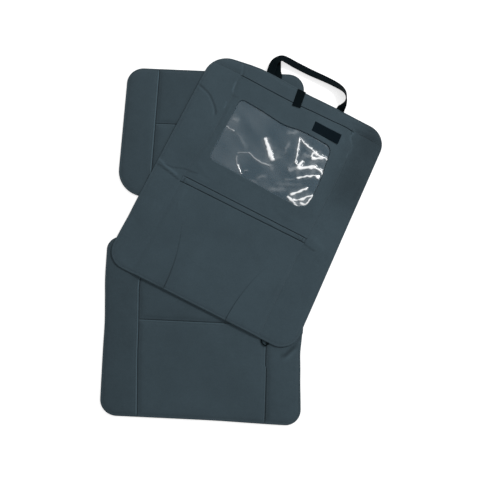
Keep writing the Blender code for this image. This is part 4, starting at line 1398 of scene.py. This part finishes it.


# Folds of the film: half widths at the start and the end, how bright its painted highlight is, and
# path
FILM_FOLDS = (
    ((0.0024, 0.0056, 1.0), trail(-33.4, 148.4, -21, 134.2, -6.1, 119.2, 7.7, 106.7, 14.2, 100.3)),
    ((0.0012, 0.0019, 0.95), trail(42.2, 186.3, 46.6, 172.1, 54.3, 149.4, 59.9, 128, 63.3, 116.8)),
    ((0.001, 0.0024, 1.0), trail(41.6, 186, 53.1, 179.4, 65.2, 173.2, 77.7, 170.1, 90.6, 166.8,
     103.5, 163.5, 115.8, 164, 132, 163.3)),
    ((0.002, 0.0024, 0.95), trail(89.4, 149.2, 90.9, 163.7, 102.6, 161.5)),
    ((0.003, 0.003, 0.95), trail(88.8, 148.9, 102.6, 153.4, 117.3, 164)),
    ((0.0022, 0.002, 0.95), trail(58.1, 123.8, 70.1, 117.8, 76.5, 134.7)),
    ((0.004, 0.0034, 1.0), trail(67, 114.6, 82.3, 115.9, 94.9, 125.4, 113.1, 132.5)),
    ((0.003, 0.0012, 1.0), trail(102.2, 129.8, 115.7, 131.8, 126.3, 128.3, 137.5, 118.7)),
    ((0.0018, 0.0022, 0.95), trail(78.2, 86.3, 93, 97.3, 106.6, 106.1, 117.7, 112.8, 131.8, 109.9)),
    ((0.0024, 0.002, 0.9), trail(83.5, 42, 91.5, 50.3, 102.9, 62.7, 116.3, 78.8)),
    ((0.0019, 0.0028, 1.0), trail(77.8, 38.3, 96.2, 31.1, 118.1, 24.1)),
    ((0.0024, 0.0024, 0.95), trail(92.3, 35.4, 107.1, 39.6, 116.8, 49.2, 124.7, 59.4, 135.9, 67.4)),
    ((0.0022, 0.0022, 0.95), trail(111, 36.1, 126.6, 37.7, 130.6, 49.9, 135, 64.6)),
    ((0.0011, 0.0011, 0.26), trail(-73.6, 76.5, -67.8, 63.3, -59.2, 52.3)),
    ((0.0012, 0.0012, 0.62), trail(-61.7, 55.8, -53.2, 47.3, -41, 36.6)),
    ((0.001, 0.001, 0.22), trail(-74.2, 80.7, -63.3, 87.4, -50.7, 92.9)),
    ((0.0012, 0.002, 0.36), trail(-54.4, 92.6, -44, 93.4, -28.9, 87.6, -12.5, 85.3, 1.4, 86.6,
     13.7, 88)),
    ((0.001, 0.001, 0.38), trail(-132.5, 131, -119.7, 128.7, -104.6, 128.1)),
    ((0.0045, 0.0045, 0.09), trail(-107.4, 129.1, -86.2, 120, -64.1, 104.4, -51.9, 95.5)),
    ((0.0032, 0.0032, 0.13), trail(25.5, 169.7, 26.5, 146.9, 29.1, 123.9)),
    ((0.003, 0.003, -0.1), trail(-30.3, 181.7, -17.3, 170.9, -7.4, 150.4)),
    ((0.005, 0.005, 0.14), trail(5.7, 180.7, 22.1, 186.5, 36.7, 200.4)),
    ((0.0035, 0.0035, 0.13), trail(-6.5, 42.3, 5.6, 54.7, 20.1, 59.2)),
    ((0.006, 0.006, 0.13), trail(26.4, 31.5, 53.3, 42.2, 73.5, 55)),
    ((0.006, 0.006, 0.12), trail(-127.5, 153.5, -115.9, 156, -103.2, 156.5)),
    ((0.007, 0.005, 0.22), trail(54.3, 95.1, 64.6, 105.4, 77.3, 114.6)),
    ((0.0024, 0.0024, 0.1), trail(52.3, 67.8, 67.1, 76.4, 83.2, 86)),
    ((0.006, 0.006, 0.16), trail(65.4, 151.7, 78.3, 148.5, 90.3, 150.5)),
    ((0.001, 0.001, 0.2), trail(-40.7, 48.3, -35.9, 50.8, -31, 53.2)),
    ((0.003, 0.003, 0.12), trail(-23.5, 35, -9, 34.3, 6.6, 31)),
    ((0.004, 0.004, 0.08), trail(31.2, 48.9, 68.9, 64.6, 112.1, 84.6)),
    ((0.004, 0.004, 0.1), trail(5.5, 93.9, 14.2, 86.2, 22.7, 76.5)),
)


def window_film():
    """The window's film: a fine sheet with sharp folds, each a bell across a path."""
    shape = window_outline(WINDOW_LAP)
    width, length = np.ptp(shape, axis=0)
    across, up = spaced(width, FILM_PITCH), spaced(length, FILM_PITCH)
    plan = patch(shape, across, up)
    x, y = plan[..., 0], plan[..., 1]
    rim = np.maximum(inside_depth(x, y, shape), 0)
    free = eased(rim, WINDOW_LAP, WINDOW_LAP + 0.005)
    bare = eased(rim, WINDOW_LAP - 0.001, WINDOW_LAP + 0.001)
    relief = np.zeros(x.shape)
    painted_highlight = np.zeros(x.shape)
    near_x = x + 0.0007 * ripples(x, y, 83, 0.008, 0.024)
    near_y = y + 0.0007 * ripples(x, y, 84, 0.008, 0.024)
    uneven = np.maximum(1 + 0.35 * ripples(x, y, 85, 0.01, 0.03), 0.25)
    for (near, far, highlight), path in FILM_FOLDS:
        distance, _, share = beside(near_x, near_y, path)
        half = (near + (far - near) * share) * uneven
        ends = eased(np.minimum(share, 1 - share), 0.0, 0.1 + 0.25 * (abs(highlight) < 0.2))
        relief += (0.0005 + 0.0012 * highlight) * ends * bell(distance, 1.6 * half)
        # Painted highlight along each fold: a bright core and a soft painted glow round it
        glow = highlight * 0.15 * bell(distance, 2.2 * half + 0.003)
        core = ends * highlight * np.exp(-(distance / half) ** (1.8 + 2.2 * abs(highlight))) + ends * glow
        painted_highlight += core * (1 - 0.6 * np.clip(painted_highlight, 0, 1))
    # A faint, uneven painted reflection over the film, lighter towards the left
    painted_highlight += 0.03 * bell(x, 0.05, 0.015) + 0.04 * eased(-x, 0.02, 0.08)
    painted_highlight += 0.03 * ripples(x, y, 86, 0.03, 0.11)
    relief += 0.0003 * (1 + ripples(x, y, 88, 0.02, 0.07, 20))
    relief = np.clip(relief, 0, 0.003) * free
    film = settings().tablet.film
    low = face_floor(x, y) + FACE_GAP / 2 + relief
    piece = cloth_piece("window_film", placed(x, y), low, low + film)
    values = np.clip(painted_highlight * bare, 0, 1).ravel()
    mark = piece.data.attributes.new("painted_highlight", "FLOAT", "POINT")
    mark.data.foreach_set("value", np.concatenate((values, values)).astype(np.float32))
    finished(piece, material("clear_soft_film", clear_film, settings().colours.film),
             "clear_film", "tablet_pocket_window")
    return piece


def lower_pocket_hem():
    """The hem: a folded strip along the lower pocket's mouth, thicker in its middle."""
    x_lines = upright_lines(HEM_SIDES)
    low, top = raised(hem_low_y, HEM_SLIT), raised(hem_top_y, -HEM_SLIT)
    across = spaced(0.3265, 0.0028)
    up = spaced(0.0135, 0.0012, rim=RIM_ROWS[:4])
    x, y = between_lines(x_lines, low, top, across, up)
    rim = np.minimum(rim_depth(x, y, low, top), side_depth(x, y, x_lines))
    middle = (low(x) + top(x)) / 2
    lines = (
        (trail(-160, -29, -150, -36, -140, -40), 0.003, 0.0009, 0.2),
        (trail(140, -34, 148, -40, 159, -44), 0.003, 0.0008, 0.2),
        (trail(60, -36, 72, -40, 86, -41), 0.003, 0.0006, 0.0),
    )
    relief = folds(x, y, lines) * eased(rim, 0, 0.002)
    relief += 0.0004 * np.cos(np.clip((y - middle) / 0.0075, -1, 1) * math.pi / 2)
    relief += 0.00016 * puckers(rim, x, 91, 0.006, 0.01) + 0.0003
    # Painted light on the hem's rounded edges, with a thin painted shadow right at them
    shade = 0.12 * bell(rim, 0.003) - 0.25 * bell(rim, 0.0005)
    piece = face_sheet("lower_hem", "lower_pocket_hem", x, y, relief, settings().tablet.hem,
                       shade, rim)
    return piece


def lower_pocket():
    """The lower pocket's cloth in three runs between its sides and the two pleats.

    Columns follow the pleats: x is a mix of the nearest two of four upright lines, and the
    cloth steps up outside each pleat and dies away outwards and towards the hem.
    """
    low_line = COVER_BOTTOM_Y + FACE_INSET
    left, right = LOWER_POCKET_SIDES
    top = raised(hem_low_y, -HEM_SLIT)
    rim_share = RIM_ROWS / 0.07
    fold = np.array((0.0, 0.0004, 0.0009, 0.0016, 0.0026, 0.0042, 0.0066))
    outer = np.unique(np.concatenate((rim_share, np.linspace(rim_share[-1], 0.9, 18),
                                      1 - fold / 0.07)))
    inner = np.unique(np.concatenate((fold / 0.2, np.linspace(0.045, 0.955, 58),
                                      1 - fold / 0.2)))
    up = spaced(0.243, 0.0028)[:, None]
    x = np.zeros((len(up), len(outer) * 2 + len(inner)))
    y = low_line + (top(0.0) - low_line) * up + x
    for _ in range(3):
        spread = pleat_x(y[:, :1])
        x = np.concatenate((
            left + (-spread - left) * outer,
            -spread + 2 * spread * inner,
            spread + (right - spread) * (1 - outer[::-1]),
        ), axis=1)
        y = low_line + (top(x) - low_line) * up
    rim = rim_depth(x, y, lambda x: low_line, top)
    side = side_depth(x, y, upright_lines(LOWER_POCKET_SIDES))
    flat = flushed(side)
    share = np.clip((y - COVER_BOTTOM_Y) / 0.175, 0, 1)
    columns = np.arange(x.shape[1])
    outside = (columns < len(outer)) | (columns >= len(outer) + len(inner))
    beyond = np.abs(np.abs(x) - pleat_x(y))
    strength = (1 - share) ** 0.8 * eased(rim, 0.0, 0.004)
    relief = 0.0013 * np.exp(-beyond / 0.02) * strength * outside
    relief -= 0.0007 * bell(beyond, 0.0014) * strength * ~outside
    lines = (
        (trail(-143, -56, -144, -90, -133, -115), 0.004, 0.0006, 0.2),
        (trail(160, -85, 157, -140, 154, -210), 0.005, 0.0007, 0.3),
        (trail(-40, -240, -20, -215, 10, -235), 0.014, -0.0006, 0.0),
        (trail(50, -70, 70, -110, 105, -135), 0.012, 0.0006, 0.0),
        (trail(-80, -70, -30, -90, 30, -80), 0.02, 0.0005, 0.0),
    )
    relief += folds(x, y, lines) * eased(rim, 0, 0.006)
    relief += 0.00022 * ripples(x, y, 97, 0.04, 0.12) * eased(rim, 0.002, 0.014)
    relief += 0.0001 * puckers(rim, x + y, 98) + 0.0005
    relief *= eased(side, 0.0, 0.012)
    # Painted shadow in each pleat's fold, fading towards the hem, and a painted light line along
    # the right side; the cloth a little lighter along its rim
    pleat = bell(beyond, 0.001) * np.clip(1 - 1.1 * share, 0, 1)
    shade = 0.05 * bell(rim, 0.0025) - 0.34 * pleat
    shade += 0.13 * bell(side, 0.001, 0.001) * (x > 0) * (
        eased(y, -0.24, -0.2) * (1 - eased(y, -0.13, -0.08)))
    piece = face_sheet("lower_pocket", "lower_pocket_panel", x, y, relief,
                       settings().tablet.face, shade, rim, flat)
    return piece


class MakeTabletCover(bpy.types.Operator):
    """Make the tablet cover's back panel, header, pockets, hem, window film and stitching"""

    bl_idname = "seat_protector.tablet_cover"
    bl_label = "Tablet Cover"

    def execute(self, context):
        pieces = [back_panel(), header(), pocket_panel(), lower_pocket_hem(), lower_pocket()]
        window_film()
        rows = [offset_line(closed(COVER_OUTLINE), COVER_STITCH_IN)]
        y = np.linspace(-0.026, 0.252, 160)
        for line, shift in ((pocket_left_x, 0.0026), (pocket_right_x, -0.0026)):
            rows.append(np.column_stack((line(y) + shift, y)))
        for line, shift, start, end, count in (
                (mouth_y, -0.0048, -0.148, 0.15, 160), (mouth_y, 0.0048, -0.148, 0.15, 160),
                (mouth_y, 0.004, -0.236, -0.152, 60), (mouth_y, 0.004, 0.152, 0.232, 60),
                (hem_low_y, 0.0024, -0.158, 0.158, 160),
                (hem_top_y, -0.0024, -0.158, 0.158, 160)):
            x = np.linspace(start, end, count)
            rows.append(np.column_stack((x, line(x) + shift)))
        rows.append(closed(window_outline(0.0036)))
        y = np.linspace(-0.284, -0.05, 160)
        rows.append(np.column_stack((np.full(160, 0.1628), y)))
        rows = [placed(row[:, 0], row[:, 1]) for row in rows]
        stitches = stitched("tablet_cover_stitching", rows, top_of(pieces))
        finished(stitches, grey_thread(), "tablet_cover_fabric")
        return {"FINISHED"}


# Webbing, label and small trim

def cover_edge_y(x):
    """Height of the cover's arched top edge at places across it."""
    top = COVER_OUTLINE[COVER_OUTLINE[:, 1] > 0.243]
    top = top[np.argsort(top[:, 0])]
    return np.interp(x, top[:, 0], top[:, 1])


def webbing_section(width, thickness):
    """Half-round selvedges and nearly flat faces, thinnest along the middle."""
    angles = np.linspace(-math.pi / 2, math.pi / 2, 5)
    flat = np.linspace(-1, 1, 9)[1:-1]
    edge = thickness / 2
    right = np.column_stack((width / 2 - edge + edge * np.cos(angles), edge * np.sin(angles)))
    upper = np.column_stack((-flat * (width / 2 - edge), edge * (0.86 + 0.1 * flat ** 2)))
    left = -right
    lower = -upper
    return np.vstack((right, upper, left, lower))


def webbing_piece(name, node, stations, width, thickness, step=0.0022):
    """Flat webbing through (x, y, z, lean) stations of the cover's own frame: its section is
    carried along a smooth path, level across it and then turned up by the lean."""
    path = smooth_path(stations, step)
    centres = path[:, :3]
    along = directions(centres)
    level = np.cross(along, (0.0, 0.0, 1.0))
    length = np.linalg.norm(level, axis=1)
    for i in range(len(level)):
        level[i] = level[i] / length[i] if length[i] > 1e-6 else level[i - 1]
        if i and level[i] @ level[i - 1] < 0:
            level[i] = -level[i]
    upright = np.cross(level, along)
    lean = np.radians(path[:, 3])[:, None]
    across = np.cos(lean) * level + np.sin(lean) * upright
    through = np.cross(across, along)
    section = webbing_section(width, thickness)
    rings = carried(centres, across, through, section)
    run = lengths_along(centres)
    uv = np.stack(np.broadcast_arrays(run[:, None], section[None, :, 0]), -1).reshape(-1, 2)
    rings[..., :2] = placed(rings[..., 0], rings[..., 1])
    piece = tube(name, rings, uv)
    return finished(piece, black_webbing(), "webbing", node)


def strap_stations():
    """The strap and its tail, from the right root over the run to the left one.

    The webbing stands up on its edge as it turns, leans back for the long run, folds over at
    the left and comes down above the tail.
    """
    def rooted(x, lean, level):
        y = float(max(cover_edge_y(x - 0.01), cover_edge_y(x + 0.01))) + 0.0003
        z = float(draped(x, y)) + level
        return [(x, y - 0.002, z, lean), (x, y + 0.0015, z, lean)]

    def past(x, *numbers):
        """Stations from millimetres past x and the long run's height, and degrees."""
        rows = np.reshape(numbers, (-1, 4)) * (0.001, 0.001, 0.001, 1.0)
        return (rows + (x, STRAP_RUN_Y, 0.0, 0.0)).tolist()

    strap = (
        rooted(STRAP_RIGHT - 0.0012, 0, 0.0034)
        + past(STRAP_RIGHT, -0.2, -49, 9, 30, 0.4, -43, 10.4, 50, 0.4, -36, 11.6, 70,
               -0.8, -28.5, 12, 90, -3.8, -21.5, 11.6, 108, -9.4, -14, 10.6, 126,
               -18, -7.2, 9.2, 142, -33, -2, 7.4, 154, -61.4, 0.6, 6.2, 160,
               -111.4, 1, 5.4, 166)
        + past(STRAP_LEFT, 45.3, 2.6, 6, 167, 22.6, 3.6, 8.2, 164, 8.5, 1.4, 10.6, 160,
               -0.8, -9.6, 11.2, 160, -3.6, -22, 10, 164)
        + rooted(STRAP_LEFT, 180, 0.0034)[::-1]
    )
    loose = rooted(STRAP_TAIL, 0, 0.0016) + past(
        STRAP_TAIL, -6.6, -37.5, 6, 8, -11.2, -29, 4.2, 8, -16.6, -17.5, 3, 5,
        -21.6, -7, 2.7, 2, -23, -3, 2.7, 0)
    return strap, loose


def closing_tab():
    """The tab: webbing that comes over the cover's edge and down to the pocket's mouth."""
    edge_y = float(cover_edge_y(0.0015))
    ground = float(draped(0.0, edge_y))
    top = settings().tablet.padding + settings().tablet.face + 0.0013
    curl = 0.0012
    stations = [(-0.0039, edge_y - 0.003, ground + top - 2 * curl, 0.0)]
    for angle in np.linspace(0, math.pi, 7)[1:-1]:
        stations.append((-0.0039, edge_y - 0.0018 + curl * math.sin(angle),
                         ground + top - curl - curl * math.cos(angle), 0.0))
    for share in (0.0, 0.12, 0.35, 0.65, 0.9, 1.0):
        x = -0.0039 + 0.0055 * share
        y = edge_y - 0.0021 - share * (edge_y - 0.2538)
        z = float(lay(x, y)) + top - 0.0003
        stations.append((x, y, z + 0.0012 * eased(share, 0.5, 1.0), 0.0))
    return webbing_piece("closing_webbing_tab", "closing_tab", stations,
                         settings().tablet.webbing, 0.0012, step=0.0012)


def plain_label(height):
    """The blank label: a thin sheet with a heat-sealed rim, softly curved with the cloth."""
    width, length = LABEL_SIZE
    across, up = spaced(0.07, 0.003, RIM_ROWS[:4]), spaced(0.022, 0.002, RIM_ROWS[:4])
    u, v = np.meshgrid(across, up)
    x = LABEL_PLACE[0] + (u - 0.5) * width - 0.0015 * (v - 0.5)
    y = LABEL_PLACE[1] + (v - 0.5) * length + LABEL_SLOPE * (u - 0.5) * width
    plan = placed(x, y)
    rim = np.minimum(np.minimum(u, 1 - u) * width, np.minimum(v, 1 - v) * length)
    base = height(plan.reshape(-1, 2)).reshape(x.shape)
    base = np.maximum(base, base.mean() - 0.0001) + 0.00025
    high = base + 0.0007 * (0.5 + 0.5 * np.sqrt(1 - (1 - np.clip(rim / 0.001, 0, 1)) ** 2))
    # Painted highlight along the label's raised rim
    shade = 0.16 * bell(rim, 0.0005, 0.0016) + 0.1 * bell(rim, 0.0006)
    piece = cloth_piece("blank_label", plan, base, high, shade)
    finished(piece, material("plain_label_cloth", satin_label, settings().colours.label),
             "label", "plain_label")
    return piece


def bartack(name, node, centre, length, turn, height):
    """A bar of dense zigzag stitches: threads lie across it like a row of small barrels."""
    across, along = np.linspace(0, 1, 9), np.linspace(0, 1, 73)
    u, v = np.meshgrid(across, along)
    local_x, local_y = (u - 0.5) * 0.0026, (v - 0.5) * length
    x = centre[0] + local_x * math.cos(turn) - local_y * math.sin(turn)
    y = centre[1] + local_x * math.sin(turn) + local_y * math.cos(turn)
    plan = placed(x, y)
    threads = np.abs(np.cos(math.pi * (v * 18 + 0.35 * u)))
    crown = np.sqrt(np.clip(1 - (2 * u - 1) ** 2, 0, 1)) * np.clip(np.minimum(v, 1 - v) * 30, 0, 1)
    base = height(plan.reshape(-1, 2)).reshape(x.shape)
    base = np.where(np.isnan(base), np.nanmean(base), base)
    high = base + 0.0002 + 0.0008 * crown * (0.6 + 0.4 * threads)
    piece = cloth_piece(name, plan, base - 0.0003, high, -0.12 + 0.2 * threads)
    return finished(piece, tablet_cloth(), "tablet_cover_fabric", node)


class MakeTrim(bpy.types.Operator):
    """Make the blank label, the closing tab, the bartacks and the elastic loop"""

    bl_idname = "seat_protector.trim"
    bl_label = "Label, Tab and Bartacks"

    def execute(self, context):
        objects = bpy.data.objects
        ground = top_of([objects[name] for name in
                         ("tablet_cover_back", "header", "tablet_pocket", "lower_hem",
                          "lower_pocket")])
        plain_label(ground)
        closing_tab()
        for hand, side in (("left", -1), ("right", 1)):
            x = side * 0.151
            bartack(f"mouth_bartack_{hand}", f"tablet_mouth_bartack_{hand}",
                    (x, float(mouth_y(x))), 0.012, 0.0, ground)
            x = side * 0.1568
            bartack(f"lower_hem_bartack_{hand}", f"hem_bartack_{hand}",
                    (x, float(hem_top_y(x) + hem_low_y(x)) / 2), 0.0105, 0.0, ground)
        elastic_loop()
        return {"FINISHED"}


def elastic_loop():
    """Round elastic: a circle carried along a half ellipse out of the lower edge."""
    angles = np.linspace(0, math.pi, 49)
    x = 0.18 - 0.0086 * np.cos(angles) + 0.003 * np.sin(angles)
    y = COVER_BOTTOM_Y + 0.001 - 0.0092 * np.sin(angles)
    z = draped(x, y) + 0.0017
    centres = np.column_stack((placed(x, y), z))
    along = directions(centres)
    across = np.cross(along, (0.0, 0.0, 1.0))
    across /= np.linalg.norm(across, axis=1)[:, None]
    turn = np.linspace(0, 2 * math.pi, 16, endpoint=False)
    section = ELASTIC_RADIUS * np.column_stack((np.cos(turn), np.sin(turn)))
    rings = carried(centres, across, np.cross(across, along), section)
    run = lengths_along(centres)
    uv = np.stack(np.broadcast_arrays(run[:, None], ELASTIC_RADIUS * turn[None]), -1).reshape(-1, 2)
    piece = tube("round_elastic_loop", rings, uv)
    return finished(piece, black_webbing(), "webbing", "elastic_loop")


class MakeStrap(bpy.types.Operator):
    """Make the headrest strap and its loose tail"""

    bl_idname = "seat_protector.strap"
    bl_label = "Headrest Strap"

    def execute(self, context):
        width = settings().tablet.webbing
        strap, loose = strap_stations()
        webbing_piece("strap_webbing", "headrest_strap", strap, width, WEBBING_THICKNESS)
        webbing_piece("strap_tail_webbing", "headrest_strap_tail", loose, width, WEBBING_THICKNESS)
        return {"FINISHED"}


def aimed(name, data, place, target):
    """A lamp or a camera, set at a place and turned to a target."""
    thing = bpy.data.objects.new(name, data)
    thing.location = place
    thing.rotation_mode = "QUATERNION"
    thing.rotation_quaternion = (Vector(target) - thing.location).to_track_quat("-Z", "Y")
    bpy.context.scene.collection.objects.link(thing)
    return thing


class MakeStage(bpy.types.Operator):
    """Make the floor, the soft studio light and the camera"""

    bl_idname = "seat_protector.stage"
    bl_label = "Stage"

    def execute(self, context):
        values = settings().stage
        scene = bpy.context.scene
        scene.view_settings.view_transform = "Standard"

        floor = mesh_object("floor", np.array(((-6, -6, -0.0004), (6, -6, -0.0004),
                                               (6, 6, -0.0004), (-6, 6, -0.0004)), float),
                            [np.array(((0, 1, 2, 3),))])
        finish = Finish("pale_floor")
        rays = finish.node("ShaderNodeLightPath", {}, {})
        seen = Signal(finish, rays.outputs["Is Camera Ray"])
        seen = seen + Signal(finish, rays.outputs["Is Glossy Ray"])
        seen = (seen + Signal(finish, rays.outputs["Is Transmission Ray"])).clamp()
        matt = finish.node("ShaderNodeBsdfDiffuse", {}, {"Color": (0.55, 0.55, 0.55, 1.0)})
        glow = finish.node("ShaderNodeEmission", {}, {"Strength": 0.68 * seen})
        both = finish.node("ShaderNodeAddShader", {}, {0: matt.outputs[0], 1: glow.outputs[0]})
        finish.node("ShaderNodeOutputMaterial", {}, {"Surface": both.outputs[0]})
        floor.data.materials.append(finish.material)

        world = bpy.data.worlds.new("studio")
        world.use_nodes = True
        world.node_tree.nodes["Background"].inputs[0].default_value = (1.0, 1.0, 1.0, 1.0)
        world.node_tree.nodes["Background"].inputs[1].default_value = values.fill
        scene.world = world

        softbox = bpy.data.lights.new("softbox", "AREA")
        softbox.shape = "SQUARE"
        softbox.size = 0.9
        softbox.energy = values.key
        aimed("softbox", softbox, (2.3, 1.95, 2.3), (0.05, 0.0, 0.0))

        camera = bpy.data.cameras.new("camera")
        camera.sensor_width = 36.0
        camera.lens = 18.0 / math.tan(math.radians(25.0))
        camera.clip_start = 0.05
        camera.clip_end = 30.0
        scene.camera = aimed("camera", camera, (0.0862, -0.2407, 1.1876),
                             (0.0758, -0.0101, 0.0))
        return {"FINISHED"}


class ProtectorPanel(bpy.types.Panel):
    """The pieces of the seat protector, in the order in which they are made"""

    bl_idname = "VIEW3D_PT_seat_protector"
    bl_label = "Seat Protector"
    bl_space_type = "VIEW_3D"
    bl_region_type = "UI"
    bl_category = "Seat Protector"

    def draw(self, context):
        values = context.scene.seat_protector
        for group in (values.seat, values.tablet, values.colours, values.stage):
            box = self.layout.box()
            for name in group.__annotations__:
                box.prop(group, name)
        for maker in MAKERS:
            self.layout.operator(maker.bl_idname)


MAKERS = (MakeSeatCover, MakeTabletCover, MakeTrim, MakeStrap, MakeStage)
CLASSES = (SeatCoverSizes, TabletCoverSizes, CoverColours, StageSettings, ProtectorSettings,
           *MAKERS, ProtectorPanel)


def register():
    for kind in CLASSES:
        bpy.utils.register_class(kind)
    bpy.types.Scene.seat_protector = PointerProperty(type=ProtectorSettings)


def unregister():
    del bpy.types.Scene.seat_protector
    for kind in reversed(CLASSES):
        bpy.utils.unregister_class(kind)


def main():
    register()
    bpy.ops.seat_protector.seat_cover()
    bpy.ops.seat_protector.tablet_cover()
    bpy.ops.seat_protector.trim()
    bpy.ops.seat_protector.strap()
    bpy.ops.seat_protector.stage()


if __name__ == "__main__":
    main()
